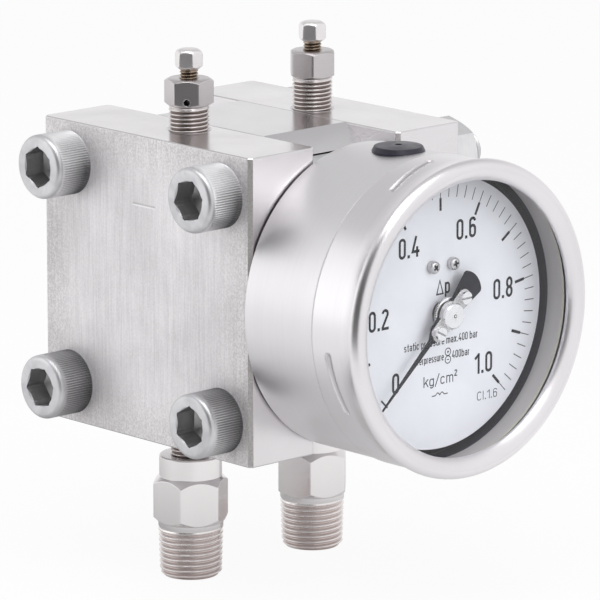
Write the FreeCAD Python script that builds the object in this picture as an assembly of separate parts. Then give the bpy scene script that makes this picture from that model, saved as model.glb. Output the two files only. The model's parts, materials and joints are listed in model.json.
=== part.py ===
import FreeCAD, Part
import math
import os

# Differential pressure gauge with a clamped diaphragm cell. Millimetres, +Z up, dial towards -Y.
# The origin lies midway between the two process connections, level with their lower ends.

# Pressure plates and the cell body between them
PLATE_SIZE = 100.0
PLATE_THICK = 28.0
PLATE_EDGE = 0.4
PLATE_CORNER = 1.2
CELL_WIDTH = 36.0
CELL_ROUND_OVER = 12.0
BED_DEPTH = 2.2
CHAMBER_DEPTH = 7.5

# Through-bolts and nuts
BOLT_PITCH = 73.0
BOLT_DIA = 14.0
BOLT_HOLE_PLAY = 1.0
BOLT_HEAD_DIA = 21.0
BOLT_HEAD_HEIGHT = 14.0
BOLT_HEAD_ROUND = 1.6
BOLT_HEAD_FOOT = 0.5
BOLT_SOCKET_FLATS = 12.0
BOLT_SOCKET_DEPTH = 7.5
BOLT_SOCKET_ANGLES = (1.0, 18.0, 21.0, 0.0)
BOLT_END = 5.8
NUT_FLATS = 21.0
NUT_HEIGHT = 11.0
NUT_FACE_ANGLE = 50.0

# Ports in the plates, each with a parallel thread above and below
PORT_INSET = 9.0
PORT_THREAD_DIA = 13.16
PORT_ENGAGED = 12.0
PORT_END_GAP = 2.0
PORT_DRILL_DIA = 6.0
PORT_MOUTH = 0.8

# Process adapters
NECK_LENGTH = 7.5
COLLAR_DIA = 20.5
COLLAR_LENGTH = 6.9
ADAPTER_FLATS = 22.0
ADAPTER_HEX_LENGTH = 15.4
PIPE_THREAD_DIA = 21.3
PIPE_THREAD_LENGTH = 17.9
PIPE_TAPER = 1.0 / 16.0
PIPE_END_CHAMFER = 1.2
ADAPTER_BORE_DIA = 6.0
ADAPTER_FACE_ANGLE = {"low": 243.0, "high": 195.0}

# Vent valves
VENT_THREAD_EXPOSED = {"low": 8.1, "high": 10.7}
VENT_FLATS = 14.0
VENT_HEX_HEIGHT = 8.6
VENT_FACE_ANGLE = {"low": 222.2, "high": 20.0}
VENT_BORE_DEPTH = 7.5
VENT_PASSAGE_DIA = 2.5
VENT_SIDE_DIA = 2.1
VENT_SIDE_HEIGHT = 1.6
VENT_SCREW_DIA = 6.0
VENT_SCREW_NECK = 3.0
VENT_HEAD_FLATS = 8.0
VENT_HEAD_HEIGHT = 6.5
VENT_HEAD_ANGLE = {"low": 215.0, "high": 213.0}
VENT_TIP_DIA = 4.8
VENT_TIP_LENGTH = 3.5

# Diaphragms, seals and the rod between the diaphragms
DIAPHRAGM_RIM = 5.0
DIAPHRAGM_THICK = 0.3
DIAPHRAGM_WAVE = 0.8
DIAPHRAGM_WAVES = 4
SEAL_OUTER_LAND = 3.0
SEAL_INNER_LAND = 2.9
SEAL_WIDTH = 3.2
SEAL_DEPTH = 2.4
ROD_DIA = 8.0
ROD_COLLAR_DIA = 18.0
ROD_COLLAR_THICK = 2.0
ROD_SPIGOT_DIA = 4.0
ROD_NUT_FLATS = 7.0
ROD_NUT_HEIGHT = 3.0

# Lever that carries the rod's travel out to the case
LEVER_DROP = 12.0
LEVER_THICK = 3.0
LEVER_HEAD_DIA = 6.0
LEVER_NECK = 4.0
LEVER_HUB_DIA = 9.0
LEVER_HUB_LENGTH = 8.0
LEVER_HUB_GAP = 0.5
SHAFT_DIA = 4.0
SHAFT_PIVOT_DEPTH = 9.5
TUBE_DIA = 6.4
TUBE_WALL = 0.6
TUBE_LAND = 4.0
TUBE_FLANGE_DIA = 13.8
TUBE_FLANGE_THICK = 3.0

# Case, ring and window
CASE_GAP = 2.0
CASE_RADIUS = 49.5
CASE_WALL = 1.0
CASE_DEPTH = 43.0
CASE_EDGE = 4.0
CASE_REAR_DRUM = 30.0
PAD_DIA = 34.0
CASE_SCREW_CIRCLE = 27.0
CASE_SCREW_ANGLES = (0.0, 110.0, 250.0)
CASE_SCREW_DIA = 4.0
CASE_SCREW_LENGTH = 13.0
CASE_SCREW_HEAD_DIA = 7.0
CASE_SCREW_HEAD_HEIGHT = 4.0
RING_OUTSTEP = 0.45
RING_THICK = 1.0
RING_RIM_OUT = 1.05
RING_RIM_DEPTH = 3.8
RING_LIP_WIDTH = 4.7
RING_LIP_THICK = 1.1
RING_REAR_GAP = 0.5
RING_PLAY = 0.15
BEAD_WIDTH = 1.2
GROOVE_WIDTH = 6.2
GROOVE_DEPTH = 0.6
DIMPLE_COUNT = 4
DIMPLE_ANGLE = -18.0
DIMPLE_SPAN = 22.0
DIMPLE_RAMP = 7.2
DIMPLE_DEPTH = 0.5
DIMPLE_ROUND = 1.6
RING_TURN = 30.0
WINDOW_THICK = 4.0
GASKET_THICK = 1.2
GASKET_WIDTH = 3.0
PLUG_DIA = 17.0
PLUG_STEM_DIA = 13.6
PLUG_HEIGHT = 1.8
PLUG_TAPER = 0.7
PLUG_LIP = 1.2
PLUG_SETBACK = 17.0
PLUG_DIMPLE_DIA = 2.2

# Dial and pointer
DIAL_GAP = 3.4
DIAL_THICK = 0.8
DIAL_HOLE_DIA = 8.0
DIAL_SCREW_PITCH = 8.7
DIAL_SCREW_HEIGHT = 15.5
DIAL_SCREW_DIA = 2.5
DIAL_SCREW_LENGTH = 6.0
DIAL_SCREW_HEAD_DIA = 4.2
DIAL_SCREW_HEAD_HEIGHT = 1.6
DIAL_POST_DIA = 5.0
POINTER_TIP_MARGIN = 4.6
POINTER_TAIL = 16.0
POINTER_TAIL_WIDTH = 10.0
POINTER_TAIL_BULGE = 1.8
POINTER_TAIL_ROUND = 1.5
POINTER_TIP_WIDTH = 0.4
POINTER_ROOT = 9.8
POINTER_ROOT_WIDTH = 1.8
POINTER_THICK = 0.5
POINTER_RISE = 3.4
POINTER_START = -132.5
POINTER_SWEEP = 270.0
CARRIER_THICK = 0.8
CARRIER_WIDTH = 5.4
HUB_DIA = 8.4
HUB_FLANGE_WIDTH = 0.4
HUB_HEIGHT = 1.7
HUB_WINDOW_GAP = 2.9
POINTER_SCREW_DIA = 4.2
POINTER_SCREW_HEIGHT = 1.5
POINTER_SCREW_PLACES = (7.4, -7.4)
POINTER_SCREW_TURNS = (-20.0, -47.5)

# Movement: plates, train and link. Heights run towards the viewer from the case's inner back.
POST_DIA = 6.0
MOVEMENT_PLATE = 1.5
MOVEMENT_LEFT = -24.0
MOVEMENT_RIGHT = 13.0
MOVEMENT_BOTTOM = -12.0
MOVEMENT_TOP = 27.0
MOVEMENT_CORNER = 4.0
POST_PLACES = ((9.0, 8.0), (-11.0, 4.0), (-4.0, 23.0))
PILLAR_PLACES = ((9.0, -8.0), (9.0, 23.0), (-21.0, -8.0))
PILLAR_DIA = 5.0
MOVEMENT_SCREW_DIA = 2.5
MOVEMENT_SCREW_LENGTH = 6.0
MOVEMENT_SCREW_HEAD_DIA = 4.8
MOVEMENT_SCREW_HEAD_HEIGHT = 1.8
GEAR_MODULE = 0.4
PINION_TEETH = 12
SECTOR_FULL_TEETH = 108
SECTOR_SPARE_TEETH = 2
GEAR_ADDENDUM = 0.8
GEAR_DEDENDUM = 1.15
GEAR_BACKLASH = 0.10
PRESSURE_ANGLE = 20.0
PINION_LENGTH = 5.0
PINION_OFFSET = 2.0
SECTOR_THICK = 1.6
SECTOR_HUB_DIA = 7.0
ARBOR_DIA = 2.4
SECTOR_ARBOR_DIA = 3.0
ARM_LENGTH = 20.0
ARM_THICK = 2.0
ARM_HUB_DIA = 8.0
ARM_END_DIA = 5.0
ARM_GAP = 1.3
CRANK_LENGTH = 4.0
CRANK_THICK = 1.2
CRANK_GAP = 0.3
LINK_THICK = 1.2
LINK_WIDTH = 2.4
LINK_EYE_DIA = 4.6
LINK_PIN_DIA = 2.0
LINK_GAP = 0.5
LINK_OPEN_PLAY = 0.35
SPRING_START_RADIUS = 2.3
SPRING_PITCH = 0.9
SPRING_STRIP = 0.2
SPRING_HEIGHT = 1.0
SPRING_HALF_TURNS = 9
SPRING_OFFSET = 1.1
SPRING_GEAR_GAP = 0.9
COLLET_DIA = 4.0
STUD_DIA = 1.6

# Clearances
THREAD_PLAY = 0.05
RUNNING_PLAY = 0.03
SLOT_PLAY = 0.1
SEAT_PLAY = 0.02

# Places worked out from the sizes above
V = FreeCAD.Vector
X_AXIS = V(1, 0, 0)
Y_AXIS = V(0, 1, 0)
Z_AXIS = V(0, 0, 1)
SIDES = {"low": -1, "high": 1}
HALF = PLATE_SIZE / 2
PORT_X = CELL_WIDTH / 2 + PORT_INSET
PORT_DEPTH = PORT_ENGAGED + PORT_END_GAP
CELL_ROUND_DIA = PLATE_SIZE + CELL_ROUND_OVER
CELL_BORE_DIA = 2 * LEVER_DROP + LEVER_HUB_DIA + 2 * LEVER_HUB_GAP
BOLT_HOLE_DIA = BOLT_DIA + BOLT_HOLE_PLAY
SEAL_DIA = BOLT_PITCH * math.sqrt(2) - BOLT_HOLE_DIA - 2 * SEAL_OUTER_LAND - SEAL_WIDTH
DIAPHRAGM_DIA = SEAL_DIA - SEAL_WIDTH - 2 * SEAL_INNER_LAND
CHAMBER_DIA = DIAPHRAGM_DIA - 2 * DIAPHRAGM_RIM
PLATE_OUTER = CELL_WIDTH / 2 + PLATE_THICK
ADAPTER_DROP = NECK_LENGTH + COLLAR_LENGTH + ADAPTER_HEX_LENGTH + PIPE_THREAD_LENGTH
CELL_Z = ADAPTER_DROP + HALF
FRONT_FACE = -HALF
CASE_BACK = FRONT_FACE - CASE_GAP
CASE_FLOOR = CASE_BACK - CASE_WALL
CASE_FRONT = CASE_BACK - CASE_DEPTH
CASE_STEP = CASE_BACK - CASE_REAR_DRUM
RING_RADIUS = CASE_RADIUS + RING_OUTSTEP
RING_BORE = RING_RADIUS - RING_THICK
FRONT_DRUM = RING_BORE - RING_PLAY
GROOVE_RADIUS = FRONT_DRUM - GROOVE_DEPTH
FRONT_DRUM_BORE = GROOVE_RADIUS - CASE_WALL
GROOVE_FRONT = CASE_FRONT + BEAD_WIDTH
WINDOW_BACK = CASE_FRONT - GASKET_THICK
WINDOW_FRONT = WINDOW_BACK - WINDOW_THICK
WINDOW_RADIUS = FRONT_DRUM - RING_PLAY
HUB_FRONT = WINDOW_BACK + HUB_WINDOW_GAP
CARRIER_FRONT = HUB_FRONT + HUB_HEIGHT
POINTER_FRONT = CARRIER_FRONT + CARRIER_THICK
POINTER_BACK = POINTER_FRONT + POINTER_THICK
DIAL_FRONT = POINTER_BACK + POINTER_RISE
DIAL_BACK = DIAL_FRONT + DIAL_THICK
DIAL_RADIUS = FRONT_DRUM_BORE - DIAL_GAP
POINTER_REACH = DIAL_RADIUS - POINTER_TIP_MARGIN
ARM_BACK = CASE_FLOOR - CASE_SCREW_HEAD_HEIGHT - ARM_GAP
ARM_FRONT = ARM_BACK - ARM_THICK
LINK_BACK = ARM_FRONT - LINK_GAP
LINK_FRONT = LINK_BACK - LINK_THICK
CRANK_BACK = LINK_FRONT - LINK_GAP
CRANK_FRONT = CRANK_BACK - CRANK_THICK
BACK_PLATE = CRANK_FRONT - CRANK_GAP
BACK_PLATE_FRONT = BACK_PLATE - MOVEMENT_PLATE
PINION_BACK = BACK_PLATE_FRONT - PINION_OFFSET
PINION_FRONT = PINION_BACK - PINION_LENGTH
SECTOR_BACK = PINION_BACK - (PINION_LENGTH - SECTOR_THICK) / 2
SPRING_BACK = PINION_FRONT - SPRING_GEAR_GAP
SPRING_FRONT = SPRING_BACK - SPRING_HEIGHT
FRONT_PLATE = SPRING_FRONT - SPRING_OFFSET
FRONT_PLATE_FRONT = FRONT_PLATE - MOVEMENT_PLATE
CENTRE_DISTANCE = GEAR_MODULE * (PINION_TEETH + SECTOR_FULL_TEETH) / 2
SECTOR_SWEEP = POINTER_SWEEP * PINION_TEETH / SECTOR_FULL_TEETH
SECTOR_X = CRANK_LENGTH - ARM_LENGTH
SECTOR_Z = math.sqrt(CENTRE_DISTANCE ** 2 - SECTOR_X ** 2)
MESH_ANGLE = math.degrees(math.atan2(-SECTOR_Z, -SECTOR_X))
CRANK_ANGLE = 180.0 - SECTOR_SWEEP / 2
CRANK_PIN_X = SECTOR_X + CRANK_LENGTH * math.cos(math.radians(CRANK_ANGLE))
CRANK_PIN_Z = SECTOR_Z + CRANK_LENGTH * math.sin(math.radians(CRANK_ANGLE))
DIAPHRAGM_INNER = CELL_WIDTH / 2 - DIAPHRAGM_THICK
BOLT_PLACES = [(y * BOLT_PITCH / 2, z * BOLT_PITCH / 2) for y in (-1, 1) for z in (-1, 1)]


def at(x, y, z):
    """Point given from the cell's centre, which the dial axis runs through."""
    return V(x, y, CELL_Z + z)


def clock(radius, angle):
    """Place on the dial's plane at a clockwise angle from the top, in degrees."""
    turn = math.radians(angle)
    return radius * math.sin(turn), radius * math.cos(turn)


def bend(centre, start, end):
    """Arc entry for an outline: the middle and the end of the short arc about a centre."""
    lean = (start[0] + end[0] - 2 * centre[0], start[1] + end[1] - 2 * centre[1])
    reach = math.dist(centre, start) / math.hypot(*lean)
    return (centre[0] + lean[0] * reach, centre[1] + lean[1] * reach), end


def outline(points, place):
    """Closed wire through points. An entry of two points is an arc's middle and end."""
    edges = []
    here = points[0]
    for step in points[1:] + points[:1]:
        if isinstance(step[0], tuple):
            middle, there = step
            edges.append(Part.Arc(place(*here), place(*middle), place(*there)).toShape())
        else:
            there = step
            if math.dist(here, there) > 1e-7:
                edges.append(Part.makeLine(place(*here), place(*there)))
        here = there
    return Part.Wire(edges)


def upright(solid):
    """The same solid with its faces turned outwards."""
    return solid if solid.Volume > 0 else solid.reversed()


def turned(profile, base, axis, sweep=360.0):
    """Solid of revolution from a profile of (radius, distance along the axis from base)."""
    across = Y_AXIS if abs(axis.x) > 0.5 else X_AXIS
    wire = outline(profile, lambda radius, along: base + across * radius + axis * along)
    return upright(Part.Face(wire).revolve(base, axis, sweep))


def rod(diameter, start, end):
    """Cylinder between two points."""
    run = end - start
    return Part.makeCylinder(diameter / 2, run.Length, start, run)


def tube(diameter, bore, start, end):
    """Hollow cylinder between two points."""
    return rod(diameter, start, end).cut(rod(bore, start, end))


def flat_piece(points, back, front):
    """Plate cut to an outline in the dial's plane, from its back to its front along Y."""
    wire = outline(points, lambda x, z: at(x, back, z))
    return upright(Part.Face(wire).extrude(V(0, front - back, 0)))


def hexagon(flats, start, end, face_angle=0.0):
    """Hexagonal bar between two points, one of its faces at the given angle about the axis."""
    axis = (end - start).normalize()
    across = Y_AXIS if abs(axis.x) > 0.5 else X_AXIS
    beside = axis.cross(across)
    corner = flats / math.sqrt(3)
    corners = []
    for step in range(7):
        turn = math.radians(face_angle + 30 + 60 * step)
        corners.append(start + across * (corner * math.cos(turn)) + beside * (corner * math.sin(turn)))
    return upright(Part.Face(Part.makePolygon(corners)).extrude(end - start))


def bevelled_hexagon(flats, start, end, face_angle=0.0):
    """Hexagonal bar with the corners turned off at both ends."""
    length = (end - start).Length
    corner = flats / math.sqrt(3)
    land = 0.97 * flats / 2
    slope = (corner - land) * math.tan(math.radians(30))
    profile = [(0, 0), (land, 0), (corner, slope), (corner, length - slope), (land, length), (0, length)]
    envelope = turned(profile, start, (end - start).normalize())
    return hexagon(flats, start, end, face_angle).common(envelope)


def stands(edge):
    """Whether a straight edge runs upright."""
    return abs(edge.tangentAt(edge.FirstParameter).z) > 0.5


def union(first, *others):
    """Several solids joined into one, with the seams between faces removed."""
    return first.multiFuse(list(others)).removeSplitter()


def save(name, *solids):
    """Write one node, which holds one solid or several separate ones."""
    shape = solids[0] if len(solids) == 1 else Part.makeCompound(list(solids))
    shape.exportStep(f"parts/{name}.step")


def side_plate(side):
    """Square pressure plate with a chamber, ports above and below, and bolt holes."""
    sign = SIDES[side]
    inner = sign * CELL_WIDTH / 2
    outer = sign * PLATE_OUTER
    block = Part.makeBox(PLATE_THICK, PLATE_SIZE, PLATE_SIZE, at(min(inner, outer), -HALF, -HALF))
    block = block.makeChamfer(PLATE_CORNER, [edge for edge in block.Edges if stands(edge)])
    block = block.makeChamfer(PLATE_EDGE, [edge for edge in block.Edges if not stands(edge)])
    cuts = [rod(BOLT_HOLE_DIA, at(inner, y, z), at(outer, y, z)) for y, z in BOLT_PLACES]
    cuts.append(rod(CHAMBER_DIA, at(inner, 0, 0), at(inner + sign * CHAMBER_DEPTH, 0, 0)))
    cuts.append(rod(PORT_DRILL_DIA, at(sign * PORT_X, 0, -HALF), at(sign * PORT_X, 0, HALF)))
    for end in (-1, 1):
        thread = PORT_THREAD_DIA / 2 + THREAD_PLAY
        mouth = [(0, 0), (thread + PORT_MOUTH, 0), (thread, PORT_MOUTH), (thread, PORT_DEPTH), (0, PORT_DEPTH)]
        cuts.append(turned(mouth, at(sign * PORT_X, 0, end * HALF), Z_AXIS * -end))
    return block.cut(cuts)


def cell_body():
    """Centre block: a round blank milled flush with the plates, with seal grooves and inner bores."""
    reach = CELL_WIDTH / 2
    block = rod(CELL_ROUND_DIA, at(-reach, 0, 0), at(reach, 0, 0))
    block = block.common(Part.makeBox(CELL_WIDTH, PLATE_SIZE, PLATE_SIZE, at(-reach, -HALF, -HALF)))
    cuts = [rod(BOLT_HOLE_DIA, at(-reach, y, z), at(reach, y, z)) for y, z in BOLT_PLACES]
    cuts.append(rod(CELL_BORE_DIA, at(-reach, 0, 0), at(reach, 0, 0)))
    rim = DIAPHRAGM_DIA / 2 + SLOT_PLAY
    for sign in (-1, 1):
        seat = DIAPHRAGM_THICK
        bed = [(0, 0), (rim, 0), (rim, seat), (CHAMBER_DIA / 2, seat),
               (CELL_BORE_DIA / 2, seat + BED_DEPTH), (0, seat + BED_DEPTH)]
        cuts.append(turned(bed, at(sign * reach, 0, 0), X_AXIS * -sign))
        groove = at(sign * (reach - SEAL_DEPTH), 0, 0)
        cuts.append(tube(SEAL_DIA + SEAL_WIDTH, SEAL_DIA - SEAL_WIDTH, at(sign * reach, 0, 0), groove))
    low = -LEVER_DROP
    wall = math.sqrt((CELL_BORE_DIA / 2) ** 2 - LEVER_DROP ** 2)
    cuts.append(rod(SHAFT_DIA + 2 * RUNNING_PLAY, at(0, 0, low), at(0, wall + SHAFT_PIVOT_DEPTH, low)))
    cuts.append(rod(TUBE_DIA + 2 * SLOT_PLAY, at(0, 0, low), at(0, FRONT_FACE, low)))
    flange = at(0, FRONT_FACE + TUBE_FLANGE_THICK, low)
    cuts.append(rod(TUBE_FLANGE_DIA + 2 * SLOT_PLAY, at(0, FRONT_FACE, low), flange))
    for x, z in case_screw_places():
        depth = CASE_SCREW_LENGTH - CASE_GAP - CASE_WALL + 1
        cuts.append(rod(CASE_SCREW_DIA + 2 * THREAD_PLAY, at(x, FRONT_FACE, z), at(x, FRONT_FACE + depth, z)))
    return block.cut(cuts)


def clamp_bolt(y, z, socket_angle):
    """Socket-head bolt through both plates, its head on the low side."""
    head = BOLT_HEAD_DIA / 2
    edge = BOLT_HEAD_ROUND
    foot = BOLT_HEAD_FOOT
    shank = BOLT_DIA / 2
    under = BOLT_HEAD_HEIGHT
    end = under + 2 * PLATE_OUTER + NUT_HEIGHT + BOLT_END
    rounding = bend((head - edge, edge), (head - edge, 0), (head, edge))
    profile = [(0, 0), (head - edge, 0), rounding, (head, under - foot), (head - foot, under), (shank, under),
               (shank, end - 1), (shank - 1, end), (0, end)]
    face = at(-PLATE_OUTER - BOLT_HEAD_HEIGHT, y, z)
    socket = hexagon(BOLT_SOCKET_FLATS, face, face + X_AXIS * BOLT_SOCKET_DEPTH, socket_angle)
    return turned(profile, face, X_AXIS).cut(socket)


def clamp_nut(y, z):
    """Hexagon nut on the high side."""
    start = at(PLATE_OUTER, y, z)
    end = start + X_AXIS * NUT_HEIGHT
    body = bevelled_hexagon(NUT_FLATS, start, end, NUT_FACE_ANGLE)
    return body.cut(rod(BOLT_DIA + 2 * THREAD_PLAY, start, end))


def diaphragm(side):
    """Corrugated disc whose rim is held between the cell body and the plate."""
    sign = SIDES[side]
    inner = ROD_COLLAR_DIA / 2
    outer = CHAMBER_DIA / 2
    pitch = (outer - inner) / DIAPHRAGM_WAVES
    crests = []
    for wave in range(DIAPHRAGM_WAVES):
        start = inner + wave * pitch
        crests += [(start, 0), (start + pitch / 2, DIAPHRAGM_WAVE)]
    near = [(ROD_SPIGOT_DIA / 2 + SLOT_PLAY, 0)] + crests + [(outer, 0), (DIAPHRAGM_DIA / 2, 0)]
    far = [(radius, along + DIAPHRAGM_THICK) for radius, along in reversed(near)]
    return turned(near + far, at(sign * DIAPHRAGM_INNER, 0, 0), X_AXIS * sign)


def chamber_seal(side):
    """Seal ring squeezed into its groove in the cell body, with its edges taken off."""
    sign = SIDES[side]
    low = (SEAL_DIA - SEAL_WIDTH) / 2 + SLOT_PLAY
    high = (SEAL_DIA + SEAL_WIDTH) / 2 - SLOT_PLAY
    edge = SEAL_DEPTH / 4
    profile = [(low + edge, 0), (high - edge, 0), (high, edge), (high, SEAL_DEPTH - edge),
               (high - edge, SEAL_DEPTH), (low + edge, SEAL_DEPTH), (low, SEAL_DEPTH - edge), (low, edge)]
    return turned(profile, at(sign * CELL_WIDTH / 2, 0, 0), X_AXIS * -sign)


def rod_end():
    """Distance from the cell's centre to the end of the rod's spigots."""
    return DIAPHRAGM_INNER + DIAPHRAGM_THICK + ROD_COLLAR_THICK + ROD_NUT_HEIGHT


def diaphragm_rod():
    """Rod with a collar behind each diaphragm and a slot for the lever's head."""
    shape = rod(ROD_DIA, at(-DIAPHRAGM_INNER, 0, 0), at(DIAPHRAGM_INNER, 0, 0))
    pieces = [rod(ROD_SPIGOT_DIA, at(-rod_end(), 0, 0), at(rod_end(), 0, 0))]
    for sign in (-1, 1):
        back = sign * (DIAPHRAGM_INNER - ROD_COLLAR_THICK)
        pieces.append(rod(ROD_COLLAR_DIA, at(back, 0, 0), at(sign * DIAPHRAGM_INNER, 0, 0)))
    length = LEVER_HEAD_DIA + 2 * RUNNING_PLAY
    width = LEVER_THICK + 2 * SLOT_PLAY
    slot = Part.makeBox(length, width, ROD_DIA, at(-length / 2, -width / 2, -ROD_DIA / 2))
    return union(shape, *pieces).cut(slot)


def rod_clamp_disc(sign):
    """Disc that holds a diaphragm's centre against the rod's collar."""
    start = DIAPHRAGM_INNER + DIAPHRAGM_THICK
    bore = ROD_SPIGOT_DIA + 2 * THREAD_PLAY
    return tube(ROD_COLLAR_DIA, bore, at(sign * start, 0, 0), at(sign * (start + ROD_COLLAR_THICK), 0, 0))


def rod_nut(sign):
    """Nut on the rod's threaded end."""
    end = at(sign * rod_end(), 0, 0)
    start = at(sign * (rod_end() - ROD_NUT_HEIGHT), 0, 0)
    return bevelled_hexagon(ROD_NUT_FLATS, start, end).cut(rod(ROD_SPIGOT_DIA + 2 * THREAD_PLAY, start, end))


def transmission_lever():
    """Lever on the shaft, with a round head that works in the rod's slot."""
    half = LEVER_THICK / 2
    head = rod(LEVER_HEAD_DIA, at(0, -half, 0), at(0, half, 0))
    neck = Part.makeBox(LEVER_NECK, LEVER_THICK, LEVER_DROP, at(-LEVER_NECK / 2, -half, -LEVER_DROP))
    low = -LEVER_DROP
    start = at(0, -LEVER_HUB_LENGTH / 2, low)
    end = at(0, LEVER_HUB_LENGTH / 2, low)
    return union(rod(LEVER_HUB_DIA, start, end), neck, head).cut(rod(SHAFT_DIA + 2 * SEAT_PLAY, start, end))


def lever_shaft():
    """Shaft from its blind pivot behind the lever, through the tube, to the drive arm."""
    wall = math.sqrt((CELL_BORE_DIA / 2) ** 2 - LEVER_DROP ** 2)
    rear = wall + SHAFT_PIVOT_DEPTH - 0.5
    return rod(SHAFT_DIA, at(0, rear, -LEVER_DROP), at(0, ARM_FRONT, -LEVER_DROP))


def torque_tube():
    """Thin tube round the shaft, flanged into the cell's front face, with a land at each end."""
    wall = math.sqrt((CELL_BORE_DIA / 2) ** 2 - LEVER_DROP ** 2)
    inner_end = -wall - FRONT_FACE
    land = SHAFT_DIA / 2 + RUNNING_PLAY
    outer = TUBE_DIA / 2
    bore = outer - TUBE_WALL
    flange = TUBE_FLANGE_DIA / 2
    profile = [(land, 0), (flange, 0), (flange, TUBE_FLANGE_THICK), (outer, TUBE_FLANGE_THICK),
               (outer, inner_end), (land, inner_end), (land, inner_end - TUBE_LAND),
               (bore, inner_end - TUBE_LAND), (bore, TUBE_LAND), (land, TUBE_LAND)]
    return turned(profile, at(0, FRONT_FACE, -LEVER_DROP), Y_AXIS)


def process_adapter(side):
    """Adapter with a neck in the plate, a round collar, a hexagon and a tapered male pipe thread."""
    x = SIDES[side] * PORT_X
    top = ADAPTER_DROP + PORT_ENGAGED
    neck = PORT_THREAD_DIA / 2
    hex_top = PIPE_THREAD_LENGTH + ADAPTER_HEX_LENGTH
    collar = COLLAR_DIA / 2
    collar_top = hex_top + COLLAR_LENGTH
    edge = 0.4
    large = PIPE_THREAD_DIA / 2
    small = large - PIPE_TAPER * PIPE_THREAD_LENGTH / 2
    end = PIPE_END_CHAMFER
    profile = [(0, 0), (small - end, 0), (small, end), (large, PIPE_THREAD_LENGTH), (collar, PIPE_THREAD_LENGTH),
               (collar, collar_top - edge), (collar - edge, collar_top), (neck, collar_top),
               (neck, top - 1), (neck - 1, top), (0, top)]
    base = V(x, 0, 0)
    body = turned(profile, base, Z_AXIS)
    low = base + Z_AXIS * PIPE_THREAD_LENGTH
    high = base + Z_AXIS * hex_top
    grip = bevelled_hexagon(ADAPTER_FLATS, low, high, ADAPTER_FACE_ANGLE[side])
    return union(body, grip).cut(rod(ADAPTER_BORE_DIA, base, base + Z_AXIS * top))


def vent_hex_top(side):
    """Height of a vent body's upper face above the cell's centre."""
    return HALF + VENT_THREAD_EXPOSED[side] + VENT_HEX_HEIGHT


def vent_seat(side):
    """Height, above the cell's centre, of the foot of a vent body's conical seat."""
    return vent_hex_top(side) - VENT_BORE_DEPTH - (VENT_SCREW_DIA - VENT_PASSAGE_DIA) / 2


def vent_body(side):
    """Valve body: thread, hexagon, a bore with a conical seat and a side outlet."""
    x = SIDES[side] * PORT_X
    hex_top = vent_hex_top(side)
    hex_foot = hex_top - VENT_HEX_HEIGHT
    foot = HALF - PORT_ENGAGED
    thread = PORT_THREAD_DIA / 2
    stem = turned([(0, foot), (thread - 1, foot), (thread, foot + 1), (thread, hex_foot), (0, hex_foot)],
                  at(x, 0, 0), Z_AXIS)
    grip = bevelled_hexagon(VENT_FLATS, at(x, 0, hex_foot), at(x, 0, hex_top), VENT_FACE_ANGLE[side])
    bore = VENT_SCREW_DIA / 2 + RUNNING_PLAY
    passage = VENT_PASSAGE_DIA / 2
    seat = vent_seat(side)
    hollow = turned([(0, foot), (passage, foot), (passage, seat), (bore, seat + bore - passage), (bore, hex_top),
                     (0, hex_top)], at(x, 0, 0), Z_AXIS)
    turn = math.radians(VENT_FACE_ANGLE[side])
    middle = at(x, 0, hex_foot + VENT_SIDE_HEIGHT)
    outlet = rod(VENT_SIDE_DIA, middle, middle + V(math.cos(turn), math.sin(turn), 0) * VENT_FLATS)
    return union(stem, grip).cut([hollow, outlet])


def vent_tip(side):
    """Plunger that closes the seat below the vent screw."""
    radius = VENT_TIP_DIA / 2
    blunt = 0.3
    nose = VENT_PASSAGE_DIA / 2 + blunt - SEAT_PLAY
    base = at(SIDES[side] * PORT_X, 0, vent_seat(side) + blunt)
    profile = [(0, 0), (nose, 0), (radius, radius - nose), (radius, VENT_TIP_LENGTH), (0, VENT_TIP_LENGTH)]
    return turned(profile, base, Z_AXIS)


def vent_screw(side):
    """Vent screw: shank down to the plunger and a hexagon head with a domed top."""
    x = SIDES[side] * PORT_X
    foot = vent_seat(side) + 0.3 + VENT_TIP_LENGTH
    head_foot = vent_hex_top(side) + VENT_SCREW_NECK
    head_top = head_foot + VENT_HEAD_HEIGHT
    shank = rod(VENT_SCREW_DIA, at(x, 0, foot), at(x, 0, head_foot))
    head = bevelled_hexagon(VENT_HEAD_FLATS, at(x, 0, head_foot), at(x, 0, head_top), VENT_HEAD_ANGLE[side])
    corner = VENT_HEAD_FLATS / math.sqrt(3)
    dome = turned([(0, 0), (corner, 0), (corner, VENT_HEAD_HEIGHT - 1.6), ((corner * 0.72, VENT_HEAD_HEIGHT - 0.5),
                  (0, VENT_HEAD_HEIGHT))], at(x, 0, head_foot), Z_AXIS)
    return union(shank, head.common(dome))


def case_screw_places():
    """Places of the screws that hold the case, in the dial's plane."""
    return [clock(CASE_SCREW_CIRCLE / 2, angle) for angle in CASE_SCREW_ANGLES]


def case_pad():
    """Round pad that holds the case off the cell's front face."""
    pad = rod(PAD_DIA, at(0, FRONT_FACE, 0), at(0, CASE_BACK, 0))
    holes = [rod(CASE_SCREW_DIA + 2 * SLOT_PLAY, at(x, FRONT_FACE, z), at(x, CASE_BACK, z))
             for x, z in case_screw_places()]
    holes.append(rod(TUBE_DIA, at(0, FRONT_FACE, -LEVER_DROP), at(0, CASE_BACK, -LEVER_DROP)))
    return pad.cut(holes)


def case_screw(x, z):
    """Cap screw from inside the case into the cell body."""
    head = rod(CASE_SCREW_HEAD_DIA, at(x, CASE_FLOOR, z), at(x, CASE_FLOOR - CASE_SCREW_HEAD_HEIGHT, z))
    shank = rod(CASE_SCREW_DIA, at(x, CASE_FLOOR, z), at(x, CASE_FLOOR + CASE_SCREW_LENGTH, z))
    return union(head, shank)


def bayonet_angles():
    """Clockwise angles of the middles of the ring's dimples."""
    return [DIMPLE_ANGLE + 360.0 * step / DIMPLE_COUNT for step in range(DIMPLE_COUNT)]


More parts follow.
